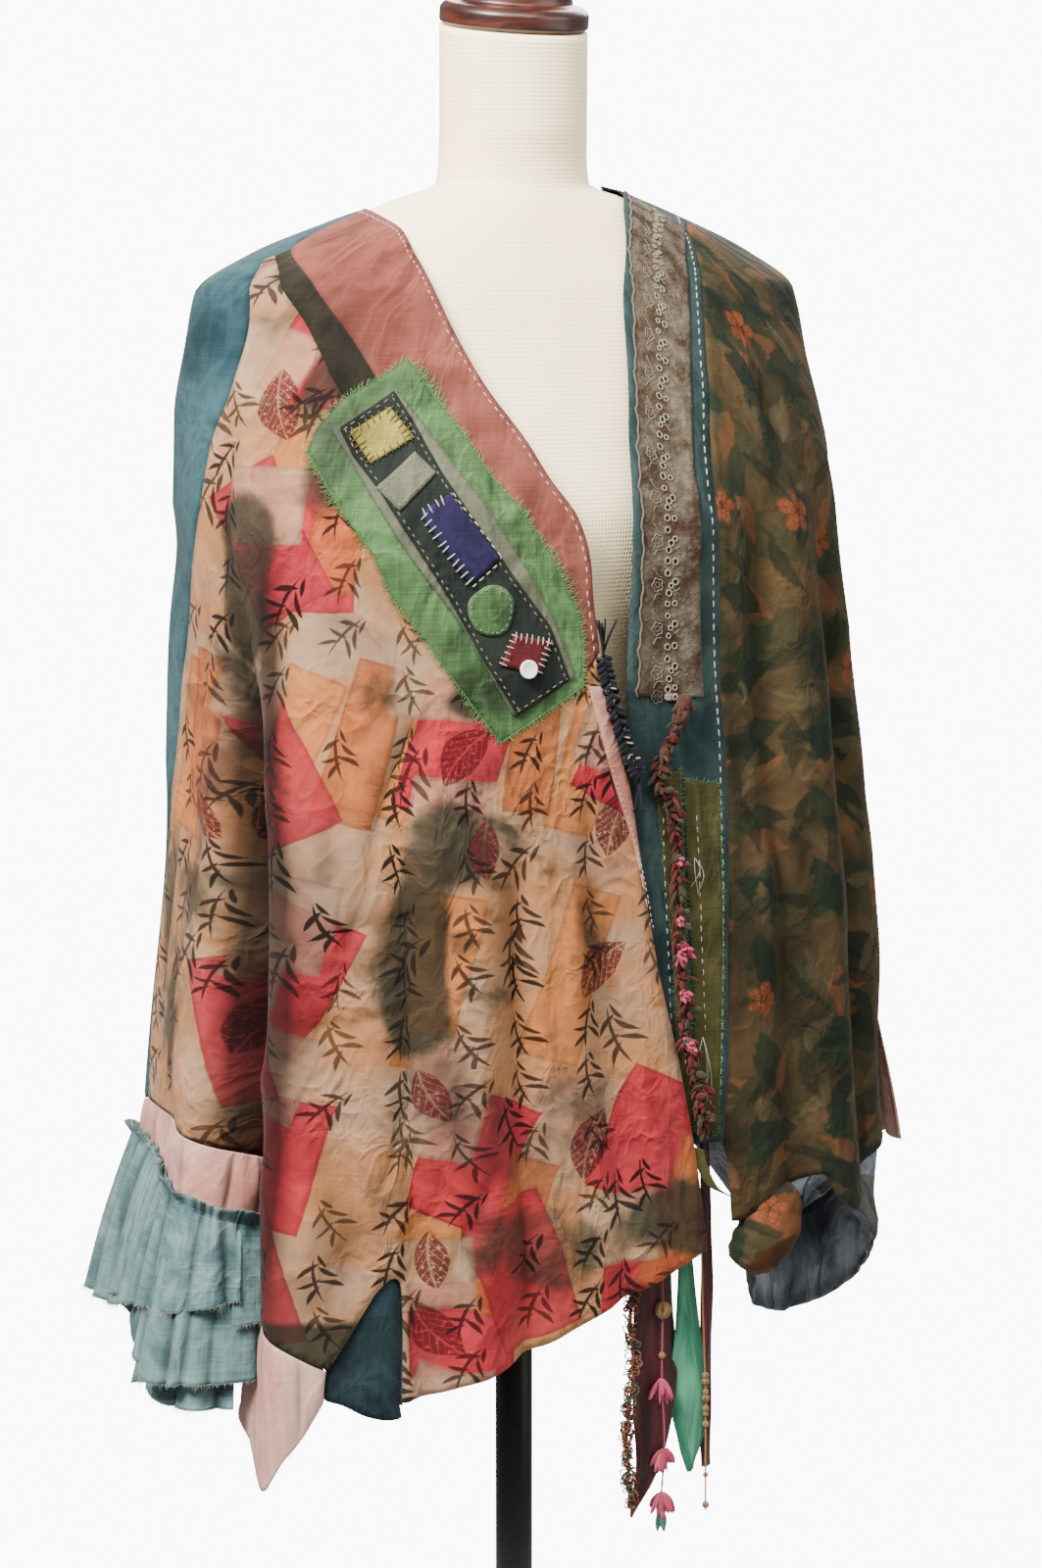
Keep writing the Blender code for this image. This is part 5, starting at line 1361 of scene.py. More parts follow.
def boucle_yarn():
    """A strand that wanders by noise, with curls: rings about random axes, set off its path."""
    rng = np.random.default_rng(3)
    count, curls = 400, 260
    fine = resample(hanging_line(BOUCLE_LINE, 0.0044)[:, :3], count)
    wander = fine + 0.0016 * np.stack([noise(fine, 0.01, seed) for seed in (4, 5, 6)], 1) * (1, 0.7, 0.4)
    heap, curled = Heap(), Heap()
    heap.strand(wander, 0.0016, 0.3)
    strand = heap.piece("boucle_yarn_strand", "boucle", slot="rust_yarn", nodes=("boucle_yarn",))
    at = (count * rng.random(curls) ** 0.8).astype(int).clip(0, count - 1)
    turns, sides = np.linspace(0, 2 * np.pi, 11), 4
    cos, sin = circle(turns).T[..., None]
    axis = unit(rng.random((curls, 3)) - 0.5)
    side = unit(np.cross(axis, (0.3, 0.2, 1)))
    over = np.cross(axis, side)
    reach = (0.0012 + 0.0028 * rng.random(curls))[:, None, None]
    middle = wander[at] + (rng.random((curls, 3)) - 0.5) * (0.007, 0.005, 0.004)
    loop = middle[:, None] + reach * (side[:, None] * cos + over[:, None] * sin)
    tone = np.where(rng.random(curls) < 0.28, 1.0, 0.5 * rng.random(curls))
    curled.strand(loop, 0.00055, np.repeat(tone, len(turns) * sides), sides, axis[:, None])
    made = curled.piece("boucle_yarn_curls", "boucle", slot="rust_yarn")


def hanging_yarns():
    """A boucle yarn with curls, a yarn with tufts and a knot, and a tan yarn with beads."""
    boucle_yarn()
    path, strand = thin_yarn("tuft_yarn", TUFT_LINE, 0.0034, "pink_yarn", 0.3)
    heap, beads, ends = Heap(), Heap(), Heap()
    for height in TUFT_HEIGHTS:
        tuft(heap, path[at_height(path, height)], 26, sizes().tuft_length, 0.003, int(height * 1000))
    tufts = heap.piece("tuft_yarn_tufts", "pink_yarn")
    for height, size, seed in TUFT_BEADS:
        knot(beads, path[at_height(path, height)], size, seed)
    made = beads.piece("tuft_yarn_beads", "tan_yarn")
    ways = unit(np.array(((0.3, 0, -1), (-0.2, 0, -1), (0.1, -0.3, -1), (0.5, 0.2, -1))))
    petals(ends, np.repeat(path[-1:] - (0, 0, 0.004), 4, 0), ways, 0.013, 0.003, 0.5, thin=0.25)
    scrap = ends.piece("tuft_yarn_scrap", "green_silk")

    path, strand = thin_yarn("tan_yarn", TAN_LINE, 0.0024, "tan_yarn", 0.5)
    heap = Heap()
    for height, size in TAN_BEADS:
        knot(heap, path[at_height(path, height)], size, int(height * 1000))
    made = heap.piece("tan_yarn_beads", "tan_yarn")


def tuft(heap, root, count, long, wide, seed):
    """A tuft: petals that fall from one root, splayed all round."""
    rng = np.random.default_rng(seed)
    ways = unit(np.column_stack([1.5 * (rng.random((count, 2)) - 0.5), -0.5 - rng.random(count)]))
    petals(heap, root + 0.002 * (rng.random((count, 3)) - 0.5), ways, long * (0.6 + 0.6 * rng.random(count)),
        wide * (0.5 + 0.6 * rng.random(count)), rng.random(count), thin=0.35)


def knot(heap, centre, size, seed):
    """A knotted bead: one thread wound about a ball, its axis turning as it goes."""
    turns = np.linspace(0, 14 * np.pi, 150)
    tilt = turns / 5.3 + seed
    ball = np.column_stack([np.cos(turns)[:, None] * circle(tilt), np.sin(turns)])
    heap.strand(centre + 0.72 * size * ball, 0.34 * size, 0.4, 5, (0.2, 0.5, 0.3))


def braid_frame(line, count, lift, under=False):
    """A braid's middle line on the cloth, its normal and its way to the side."""
    rows = smooth_rows(line, count)
    middle, normal = cloth_frame(rows[:, 0], rows[:, 1], layer(1) + lift, under)
    return middle, normal, unit(np.cross(normal, np.gradient(middle, axis=0)))


def yarn_braid():
    """A plait of four mixed yarns, each a sine wave across with half its pitch up and down, with leaf-like
    scraps, knots at its top and pink tufts."""
    rng = np.random.default_rng(12)
    fine = 240
    middle, normal, side = braid_frame(YARN_BRAID, fine, 0.0024, True)
    wander = 0.003 * noise(middle, 0.03, 3)[:, None]
    heap, pink = Heap(), Heap()
    for strand, tone in enumerate((0, 0.25, 0, 0.5)):
        phase = 2 * np.pi * (np.linspace(0, 15, fine) + strand / 4 + 0.25 * noise(middle, 0.05, strand))
        path = (middle + side * (wander + 0.0036 * np.sin(phase)[:, None])
            + normal * (0.0013 * np.sin(2 * phase) + 0.0004)[:, None])
        heap.strand(path, 0.0012 + 0.0006 * noise(middle, 0.012, 7 + strand), tone, 6, normal)
    count = 150
    at = rng.integers(4, fine - 4, count)
    spread = rng.random((count, 2)) - 0.5
    roots = (middle[at] + side[at] * 0.009 * spread[:, :1]
        + normal[at] * (0.0016 + 0.003 * rng.random((count, 1))))
    lean = rng.random((count, 1)) * 2 - 1
    down = unit(np.gradient(middle, axis=0))[at]
    ways = unit(down * (rng.random((count, 1)) - 0.3) + side[at] * lean + normal[at] * 0.25)
    petals(heap, roots, ways, 0.004 + 0.006 * rng.random(count), 0.001 + 0.002 * rng.random(count),
        rng.choice((0.0, 0.25, 0.5, 0.5, 0.0), count), normal[at][:, None], 0.3, 0.25)
    for turn in range(7):
        knot(heap, middle[2 + 2 * turn] + 0.003 * (rng.random(3) - 0.5) + normal[0] * 0.002, 0.0052, turn)
    heap.piece("yarn_braid_plait", "mixed_yarn", slot="rust_yarn", nodes=("yarn_braid",))
    for height, size, tone in ((0.865, 0.013, 0.3), (0.835, 0.009, 0.4), (0.797, 0.009, 0.7),
            (0.93, 0.006, 0.9), (0.888, 0.005, 0.9)):
        spot = at_height(middle, height)
        count = int(1200 * size) + 8
        way = unit(rng.random((count, 3)) * 2 - 1 + 0.8 * normal[spot])
        petals(pink, middle[spot] + 0.003 * normal[spot] + 0.002 * (rng.random((count, 3)) - 0.5), way,
            size * (0.5 + 0.4 * rng.random(count)), 0.0022, tone * rng.random(count), thin=0.4)
    pink.piece("yarn_braid_tufts", "pink_yarn")
    return rng


def navy_braid(rng):
    """A plait of five strands like the yarn braid's, with cream flecks and loose ends that bend away."""
    fine = 160
    middle, normal, side = braid_frame(NAVY_BRAID, fine, 0.0026)
    heap = Heap()
    for strand, tone in enumerate((0, 0.33, 0.66, 0.2, 0.5)):
        phase = 2 * np.pi * (np.linspace(0, 6.3, fine) + strand / 5 + 0.3 * noise(middle, 0.03, strand))
        sway = (0.0046 + 0.001 * noise(middle, 0.02, 9 + strand)) * np.sin(phase)
        path = middle + side * sway[:, None] + normal * (0.0018 * np.sin(2 * phase))[:, None]
        heap.strand(path, 0.0016, tone, 6, normal)
        if strand < 3:
            fleck = path[rng.integers(5, fine - 10, 5)[:, None] + np.arange(5)] + 0.0012 * normal[:1]
            heap.strand(fleck, 0.0007, 1.0, 5, normal[0])
    run = np.linspace(0, 1, 10)[:, None]
    for end in range(9):
        bend = rng.random(3) - 0.5
        foot, way = (middle[0], 1) if end < 6 else (middle[-1], -1)
        path = (foot + (0, 0, 0.026 * way) * run + 0.02 * bend * (1, 0.3, 0.2) * run ** 1.5
            + 0.004 * normal[0] * run)
        heap.strand(path, 0.0008, rng.random() * 0.6, 5)
    heap.piece("navy_braid_plait", "navy_yarn", nodes=("navy_braid",))


def olive_tie():
    """A folded strip across its line, dropping as it goes across."""
    rows = smooth_rows(OLIVE_TIE, 40)
    across = rows[:, 2:] * np.linspace(-1, 1, 9)
    per_metre = 360 / (ACROSS_LINE[-1] - ACROSS_LINE[0])
    points = on_cloth(rows[:, :1] + per_metre * across, rows[:, 1:2] + 0.3 * across, layer(1) + 0.001, True)
    loft("olive_tie_cloth", points, "olive_linen", ("olive_tie",), 0.0008, held="hung")


def braids():
    navy_braid(yarn_braid())
    olive_tie()


def button():
    """Rings of the button's profile: shares of its radius, and how far each stands above the red patch."""
    turns = np.linspace(0, 2 * np.pi, 48, endpoint=False)
    spot = to_flat(BUTTON_CENTRE)
    rings = ((0.01, 0.0016), (0.45, 0.0016), (0.72, 0.0022), (0.9, 0.0026), (1, 0.0019), (1, 0.0006),
        (0.9, 0))
    rows = [on_cloth(*to_place(spot + BUTTON_RADIUS * share * circle(turns)), layer(4) + rise)
        for share, rise in rings]
    add_piece("white_button_shell", rows, grid_faces(len(rows), len(turns), True).tolist(), "white_shell",
        ("white_button",))


# Materials

CLOTH_SHADE = 0.4  # how much light cloth gives back, against a white card that is as bright on the screen


def srgb(red, green, blue, shade=CLOTH_SHADE):
    """A screen colour from 0 to 255 as linear red, green, blue and full alpha."""
    share = np.array((red, green, blue)) / 255
    linear = shade * np.where(share < 0.04045, share / 12.92, ((share + 0.055) / 1.055) ** 2.4)
    return (*linear.tolist(), 1.0)


class Shade:
    """A socket among a material's nodes. Arithmetic on it adds Math nodes, or Vector Math nodes."""

    def __init__(self, tree, socket):
        self.tree, self.socket = tree, socket

    def node(self, kind, inputs=None, output=0, stops=(), **settings):
        """Any other node: its settings and ramp stops first, then its sockets' values or links."""
        made = self.tree.nodes.new("ShaderNode" + kind)
        for name, value in settings.items():
            setattr(made, name, value)
        if stops:
            ramp = made.color_ramp.elements
            for _ in stops[2:]:
                ramp.new(0.5)
            for element, (place, colour) in zip(ramp, stops):
                element.position, element.color = place, colour
        for name, value in (inputs or {}).items():
            if isinstance(value, Shade):
                self.tree.links.new(value.socket, made.inputs[name])
            else:
                made.inputs[name].default_value = value
        return Shade(self.tree, made.outputs[output])

    def math(self, operation, *values, swap=False):
        vector = any(isinstance(v, Shade) and v.socket.type == "VECTOR" for v in (self, *values))
        sides = [(v, v, v) if vector and isinstance(v, (int, float)) else v for v in (self, *values)]
        sides = sides[::-1] if swap else sides
        return self.node("VectorMath" if vector else "Math", dict(enumerate(sides)), operation=operation)

    __add__ = __radd__ = partialmethod(math, "ADD")
    __sub__ = partialmethod(math, "SUBTRACT")
    __rsub__ = partialmethod(math, "SUBTRACT", swap=True)
    __mul__ = __rmul__ = partialmethod(math, "MULTIPLY")
    __truediv__ = partialmethod(math, "DIVIDE")
    __abs__ = partialmethod(math, "ABSOLUTE")
    sin = partialmethod(math, "SINE")
    least = partialmethod(math, "MINIMUM")
    most = partialmethod(math, "MAXIMUM")

    def between(self, low, high):
        """From 0 at low to 1 at high, smoothly."""
        return self.node("MapRange", {"Value": self, "From Min": low, "From Max": high},
            interpolation_type="SMOOTHSTEP")

    def below(self, limit, soft=0.001):
        """1 where this is under the limit and 0 above, with a soft edge that wide to each side."""
        return (self - limit).between(soft, -soft)

    def parts(self):
        """A vector's or colour's three numbers."""
        split = self.node("SeparateXYZ", {0: self})
        return tuple(Shade(self.tree, socket) for socket in split.socket.node.outputs)

    def scaled(self, factor):
        """A vector or colour times one number that may vary."""
        return self.node("VectorMath", {0: self, "Scale": factor}, operation="SCALE")

    def length(self):
        return self.node("VectorMath", {0: self}, 1, operation="LENGTH")

    def turned(self, angle):
        return self.node("VectorRotate", {"Vector": self, "Angle": angle}, rotation_type="Z_AXIS")

    def over(self, under, factor):
        """This colour laid on another by a factor."""
        return self.node("Mix", {0: factor, 6: under, 7: self}, 2, data_type="RGBA")


class Finish:
    """A material with its Principled shader: coordinates, shared patterns and the last steps."""

    def __init__(self, name, **uniform):
        self.name = name
        self.material = bpy.data.materials.new("jacket_" + name)
        self.material.use_nodes = True
        self.tree = self.material.node_tree
        self.shader = self.tree.nodes["Principled BSDF"]
        for socket, value in uniform.items():
            self.shader.inputs[socket.replace("_", " ")].default_value = value
        spot = self.tree.nodes.new("ShaderNodeTexCoord")
        self.flat, self.solid = Shade(self.tree, spot.outputs["UV"]), Shade(self.tree, spot.outputs["Object"])

    def paint(self, screen, shade=CLOTH_SHADE):
        """A screen colour as a shade, to mix with others."""
        made = self.flat.node("RGB")
        made.socket.default_value = srgb(*screen, shade)
        return made

    def blend(self, top, under, share, shade=CLOTH_SHADE):
        """One screen colour laid on another by a share."""
        return self.paint(top, shade).over(self.paint(under, shade), share)

    def dyed(self, share):
        """The cloth's pale colour laid on its deep one by a share, as the panel has them."""
        colours = bpy.context.scene.jacket_colours
        pale, deep = (255 * np.array(getattr(colours, f"{self.name}_{side}")) for side in ("pale", "deep"))
        return self.blend(pale, deep, share)

    def noise(self, spot, scale, detail=2.0, rough=0.5, seed=0.0, bend=0.0):
        """Noise from 0 to 1. Scale is lumps in a metre, one number or one each way."""
        scale = (scale, scale, scale) if isinstance(scale, (int, float)) else scale
        spread = spot.node("VectorMath", {0: spot, 1: scale, 2: (seed, 0.7 * seed, 0)},
            operation="MULTIPLY_ADD")
        return spot.node("TexNoise", {"Vector": spread, "Scale": 1.0, "Detail": detail, "Roughness": rough,
            "Distortion": bend})

    def cells(self, spot, pitch, seed, shift, stray=None):
        """Cells of a repeat: the place from each one's middle in metres, its motif moved by up to stray from
        end to end, and three random numbers for each."""
        spread = spot.node("VectorMath", {0: spot, 1: (1 / pitch[0], 1 / pitch[1], 0), 2: (*shift, 0)},
            operation="MULTIPLY_ADD")
        cell = spread.math("FLOOR")
        local = (spread - cell - 0.5).math("MULTIPLY", (*pitch, 0))
        chance = spot.node("TexWhiteNoise", {"Vector": cell + 0.37 * seed}, 1, noise_dimensions="3D").parts()
        if stray:
            moved = {k: (chance[k] - 0.5) * far for k, far in enumerate(stray)}
            local = local - spot.node("CombineXYZ", moved)
        return local, chance

    def attribute(self, name):
        return self.flat.node("Attribute", output=2, attribute_name=name)

    def threads(self, long=18.0, fine=650.0):
        """Uneven warp and weft threads, from -1 to 1: noise drawn out each way."""
        weft = self.noise(self.flat, (long, fine, 0), 3, 0.65, 3.1)
        warp = self.noise(self.flat, (fine, long, 0), 3, 0.65, 8.7)
        return weft * 1.2 + warp - 1.1

    def crinkle(self):
        """Fine crumples of pressed and washed cloth: ridges where two noises cross their middle value, in
        patches."""
        large = 1 - abs(self.noise(self.flat, (26, 17, 20), 2, 0.5, 1.3, 0.8) - 0.5) * 6
        small = 1 - abs(self.noise(self.flat, (74, 50, 60), 2, 0.5, 5.9, 0.6) - 0.5) * 6
        patchy = self.noise(self.flat, 13, 2, 0.5, 9.4).between(0.38, 0.62)
        return large.most(0) * 0.65 + small.most(0) * patchy * 0.35

    def end(self, colour, height=None, distance=0.001, strength=1.0):
        """Feeds the shader. The height is in units of the distance, in metres."""
        links = self.tree.links
        links.new(colour.socket, self.shader.inputs["Base Color"])
        if height is not None:
            bump = height.node("Bump", {"Height": height, "Distance": distance, "Strength": strength})
            links.new(bump.socket, self.shader.inputs["Normal"])
        return self.material


def linen(name, slub=0.16, rough=0.92, faded=9.0, crumple=0.0014, sheen=0.03):
    """Plain woven linen: uneven threads each way, faded in soft clouds, paler on its crumples as painted
    highlight and darker in its folds and creases as painted shade."""
    finish = Finish(name, Roughness=rough, Sheen_Weight=sheen, Sheen_Roughness=0.5, Specular_IOR_Level=0.12)
    threads, folds = finish.threads(), finish.crinkle()
    cloud = finish.noise(finish.flat, faded, 4, 0.65, 2.2)
    # The pale colour shows more on the crumples: painted highlight.
    colour = finish.dyed((cloud + folds * 0.2 + threads * slub).between(0.3, 0.82))
    # The tone attribute darkens folds and creases as painted shade, the stain attribute darkens the real
    # stains, and the crumples are brightened as painted highlight.
    worn = (1 - finish.attribute("tone") * 0.5) * (1 - finish.attribute("stain") * 0.56)
    colour = colour.scaled((threads * slub + folds * 0.22 + 0.9) * worn)
    return finish.end(colour, folds + threads * 0.07, crumple)


def some(first, second, often):
    """1 in the share of cells that often says, else 0, from the fraction of two random numbers' sum."""
    return (first + second).math("FRACT").below(often)


def leaf(x, y, long, wide, bow):
    """How far a place is from a leaf's bowed middle line, m = |x + bow y^2|, and how far outside its pointed
    oval, m - wide (1 - (y / long)^2)."""
    middle = abs(x + y * y * bow)
    reach = y / long
    return middle, middle - (1 - reach * reach) * wide


# Scraps of the print: pitch and shift of the repeat, half sizes, how far each one strays, how far it is
# turned and about what slant, its colour, how many cells have one and how strong it is
SCRAPS = (
    ((0.105, 0.16), 3, (0.2, 0.1), (0.021, 0.062), 0.02, 0.35, -0.24, (198, 134, 82), 0.78, 0.8),
    ((0.128, 0.142), 7, (0.6, 0.3), (0.034, 0.046), 0.026, 0.6, -0.22, (188, 56, 76), 0.7, 0.9),
    ((0.112, 0.118), 5, (0.4, 0.8), (0.026, 0.031), 0.026, 0.5, -0.2, (174, 148, 130), 0.5, 0.7),
    ((0.124, 0.176), 11, (0.9, 0.7), (0.019, 0.056), 0.026, 0.4, -0.26, (186, 114, 68), 0.52, 0.78),
    ((0.19, 0.168), 13, (0.1, 0.6), (0.03, 0.052), 0.04, 0.8, 0.15, (182, 60, 78), 0.66, 0.84),
    ((0.138, 0.104), 17, (0.5, 0.2), (0.03, 0.026), 0.03, 0.6, -0.15, (190, 164, 138), 0.46, 0.7),
)


def print_cloth(name):
    """A printed collage of paper scraps: orange strips, red blocks and grey squares in loose rows on a tan
    ground, washed with olive and charcoal stains, with inked sprigs and wine-red stamped leaves between."""
    finish = Finish(name, Roughness=0.9, Sheen_Weight=0.03, Sheen_Roughness=0.5, Specular_IOR_Level=0.12)
    flat = finish.flat
    threads, folds = finish.threads(), finish.crinkle()
    wash = finish.noise(flat, 55, 4, 0.7, 4.4)
    cloud = finish.noise(flat, 11, 4, 0.65, 1.0).between(0.4, 0.62)
    colour = finish.blend((184, 156, 132), (192, 144, 106), cloud)
    for pitch, seed, shift, half, stray, swing, slant, paint, often, strong in SCRAPS:
        local, chance = finish.cells(flat, pitch, seed, shift, (stray, stray))
        x, y, _ = local.turned((chance[2] - 0.5) * swing + slant).parts()
        shape = (abs(x) - half[0]).most(abs(y) - half[1]) + (wash - 0.5) * 0.0022
        mask = shape.below(0, 0.0006) * some(chance[1] * 7.3, chance[0] * 3.1, often)
        rim = shape.between(-0.004, 0.0) * 0.3
        colour = finish.paint(paint).scaled(1.28 - wash * 0.5 - rim).over(colour, mask * strong)
    soil = finish.noise(flat, (22, 17, 1), 5, 0.7, 3.3, 0.4)
    stain = finish.noise(flat, (6.4, 4.4, 1), 5, 0.6, 9.3, 0.7)
    torn = (finish.attribute("stain") + (soil - 0.5) * 0.9).between(0.3, 0.75)
    dusk = finish.noise(flat, (10, 7, 1), 4, 0.65, 6.1)
    for paint, mask in (
        ((112, 84, 74), soil.between(0.52, 0.72) * 0.42),
        ((62, 66, 54), (stain.between(0.6, 0.68) * 0.8).most(torn * 0.86)),
        ((78, 60, 62), dusk.between(0.54, 0.7) * 0.66),
        ((104, 26, 38), stamped_leaves(finish, wash) * 0.82),
        ((24, 20, 22), sprigs(finish, wash) * 0.94),
    ):
        colour = finish.paint(paint).over(colour, mask)
    colour = colour.node("Gamma", {"Color": colour, "Gamma": 1.3}).scaled(2.0)
    # Crumples are brightened as painted highlight, and the tone attribute darkens folds and creases as
    # painted shade.
    colour = colour.scaled((threads * 0.18 + folds * 0.3 + 0.88) * (1 - finish.attribute("tone") * 0.66))
    return finish.end(colour, folds + threads * 0.06, 0.0022)


def stamped_leaves(finish, wash):
    """Broad stamped leaves with pale ribs, worn away in specks."""
    masks = []
    speck = finish.noise(finish.flat, 330, 3, 0.7, 1.7)
    for pitch, seed, shift, long, wide in (((0.125, 0.135), 21, (0.35, 0.15), 0.026, 0.014),
            ((0.185, 0.16), 23, (0.8, 0.45), 0.021, 0.011)):
        local, chance = finish.cells(finish.flat, pitch, seed, shift, (0.05, 0.06))
        x, y, _ = local.turned(chance[2] * 1.6 - 0.8).parts()
        middle, shape = leaf(x, y, long, wide, 6)
        body = (shape + (wash - 0.5) * 0.005).below(0, 0.0007)
        veins = ((abs(x) * 1.4 + y) * 900).sin().between(0.86, 0.98)
        mask = body * (1 - middle.below(0.0007, 0.0004) * 0.7) * (1 - veins * 0.6) * speck.between(0.36, 0.46)
        masks.append(mask * some(chance[1] * 5.7, 0, 0.6))
    return reduce(Shade.most, masks)


# Brush strokes of a sprig in shares of its half height: middle, lean in radians, half length, half width, bow
STROKES = (
    (0.02, 0.0, 0.1, 1.0, 0.08, 0.16),
    (0.34, 0.4, -0.95, 0.46, 0.115, 0.06),
    (-0.32, 0.26, 0.85, 0.44, 0.105, 0.07),
    (0.38, -0.12, -1.25, 0.42, 0.1, -0.06),
    (-0.36, -0.26, 1.15, 0.48, 0.115, -0.07),
    (0.24, -0.62, -0.6, 0.44, 0.105, 0.07),
    (-0.12, 0.78, 0.4, 0.32, 0.09, 0.03),
)


def sprigs(finish, wash):
    """Inked grass sprigs in columns: brush strokes that narrow to a point at both ends, |x - bow s| < width s
    with s = 1 - (y / length)^2, swelling and drying as they go."""
    masks = []
    for pitch, seed, shift, size, often in (((0.046, 0.04), 31, (0.0, 0.0), 0.017, 0.74),
            ((0.08, 0.062), 37, (0.5, 0.4), 0.0215, 0.42)):
        local, chance = finish.cells(finish.flat, pitch, seed, shift, (0.012, 0.01))
        base = local.turned((chance[2] - 0.5) * 1.5 - 0.2)
        strokes = []
        for x, y, lean, long, wide, bow in STROKES:
            u, v, _ = (base - (x * size, y * size, 0)).turned(lean).parts()
            reach = v / (long * size)
            swell = 1 - reach * reach
            strokes.append(abs(u - swell * (bow * size)) - swell * (wide * size * 0.82))
        inked = (reduce(Shade.least, strokes) + (wash - 0.5) * 0.0026).below(0, 0.0004)
        masks.append(inked * some(chance[1] * 9.1, chance[2], often) * (chance[0] * 0.3 + 0.7))
    return reduce(Shade.most, masks)


# Leaves of the flowered cloth: pitch and shift of the repeat, half sizes, colour and how strong it is
LEAVES = (
    ((0.052, 0.066), 41, (0.3, 0.1), 0.03, 0.013, (66, 66, 42), 0.76),
    ((0.056, 0.06), 43, (0.7, 0.6), 0.027, 0.012, (42, 56, 38), 0.82),
    ((0.05, 0.058), 47, (0.1, 0.4), 0.022, 0.008, (136, 88, 56), 0.55),
    ((0.06, 0.054), 53, (0.5, 0.9), 0.026, 0.011, (30, 46, 34), 0.84),
    ((0.044, 0.05), 57, (0.2, 0.7), 0.018, 0.006, (94, 84, 58), 0.7),
    ((0.04, 0.062), 59, (0.4, 0.2), 0.024, 0.005, (34, 40, 28), 0.66),
)


def flower_cloth(name, blooming=0.34):
    """Camouflage-like leaves in greens and browns on a tan ground, run together as if by water, with loose
    salmon flowers of five lobes that have darker lines."""
    finish = Finish(name, Roughness=0.85, Sheen_Weight=0.02, Sheen_Roughness=0.5, Specular_IOR_Level=0.1)
    flat = finish.flat
    folds, threads = finish.crinkle(), finish.threads(30)
    wash = finish.noise(flat, 38, 5, 0.7, 2.4)
    run = finish.noise(flat, (14, 9, 1), 4, 0.6, 5.4)
    spread = flat + flat.node("CombineXYZ", {0: (wash - 0.5) * 0.02, 1: (run - 0.5) * 0.036})
    colour = finish.dyed(finish.noise(spread, (17, 12, 1), 4, 0.65, 3.0).between(0.36, 0.64))
    for pitch, seed, shift, long, wide, paint, strong in LEAVES:
        local, chance = finish.cells(spread, pitch, seed, shift)
        u, v, _ = local.turned(chance[2] * 6.28).parts()
        middle, shape = leaf(u, v, long, wide, 5)
        body = (shape + (wash - 0.5) * 0.008).below(0, 0.0013)
        mask = body * chance[0].below(0.74) * (1.25 - wash * 0.5)
        painted = finish.paint(paint).scaled(1.35 - wash * 0.7 + middle.below(0.0007, 0.0006) * 0.2)
        colour = painted.over(colour, mask * strong)
    specks = finish.noise(flat, 420, 3, 0.7, 8.8).between(0.4, 0.6)
    for pitch, seed, shift, size in (((0.098, 0.105), 61, (0.2, 0.3), 0.016),
            ((0.105, 0.12), 67, (0.6, 0.8), 0.013)):
        local, chance = finish.cells(flat, pitch, seed, shift, (0.05, 0.05))
        x, y, _ = local.parts()
        wave = abs((y.math("ARCTAN2", x) * 2.5 + chance[2] * 3).math("COSINE"))
        reach = local.length() + (wash - 0.5) * 0.018
        bloomed = (reach - (wave * 0.35 + 0.65) * size).below(0, 0.0022)
        lines = wave.below(0.28, 0.12) + (reach * 2100).sin().between(0.5, 1.0) * 0.5
        heart = (reach - size * 0.24).below(0, 0.0012)
        dark = lines * 0.35 + heart * 0.45 + specks * 0.4
        bloom = finish.paint((164, 88, 54)).scaled(1.3 - wash * 0.5 - dark)
        colour = bloom.over(colour, bloomed * some(chance[0] * 6.7, chance[1] * 2.3, blooming) * 0.8)
    # Crumples are brightened as painted highlight, and the tone attribute darkens folds and creases as
    # painted shade.
    colour = colour.scaled((threads * 0.16 + folds * 0.24 + 0.88) * (1 - finish.attribute("tone") * 0.5))
    return finish.end(colour, folds + threads * 0.06, 0.0017)


def eyelet_lace(name):
    """Cotton trim in mottled taupe with raised satin dots and sprigs."""
    finish = Finish(name, Roughness=0.9, Sheen_Weight=0.03, Specular_IOR_Level=0.12)
    flat = finish.flat
    blot = finish.noise(flat, 42, 4, 0.65, 3.3)
    knots = flat.node("TexVoronoi", {"Vector": flat, "Scale": 170.0, "Randomness": 0.8}, feature="F1")
    raised = knots.below(0.35, 0.2)
    sprig = finish.noise(flat, 260, 2, 0.5, 7.7).between(0.5, 0.62)
    colour = finish.blend((138, 126, 108), (82, 60, 46), blot.between(0.36, 0.64))
    colour = colour.scaled(raised * 0.28 + sprig * 0.2 + 0.78)
    return finish.end(colour, raised * 0.6 + sprig * 0.5 + finish.threads() * 0.1, 0.0006)


def silk(name):
    """Crushed silk: long soft ripples that catch the light, painted paler along them as sheen, with frayed
    paler threads along it.
    """
    finish = Finish(name, Roughness=0.42, Sheen_Weight=0.08, Sheen_Roughness=0.4, Specular_IOR_Level=0.35)
    ripple = finish.noise(finish.flat, (90, 14, 1), 3, 0.6, 2.0, 0.5)
    thread = finish.noise(finish.flat, (900, 22, 1), 2, 0.6, 5.0)
    # The pale colour along the ripples is painted sheen.
    colour = finish.dyed(ripple.between(0.4, 0.72)).scaled(thread * 0.3 + 0.85)
    return finish.end(colour, ripple + thread * 0.12, 0.0012)


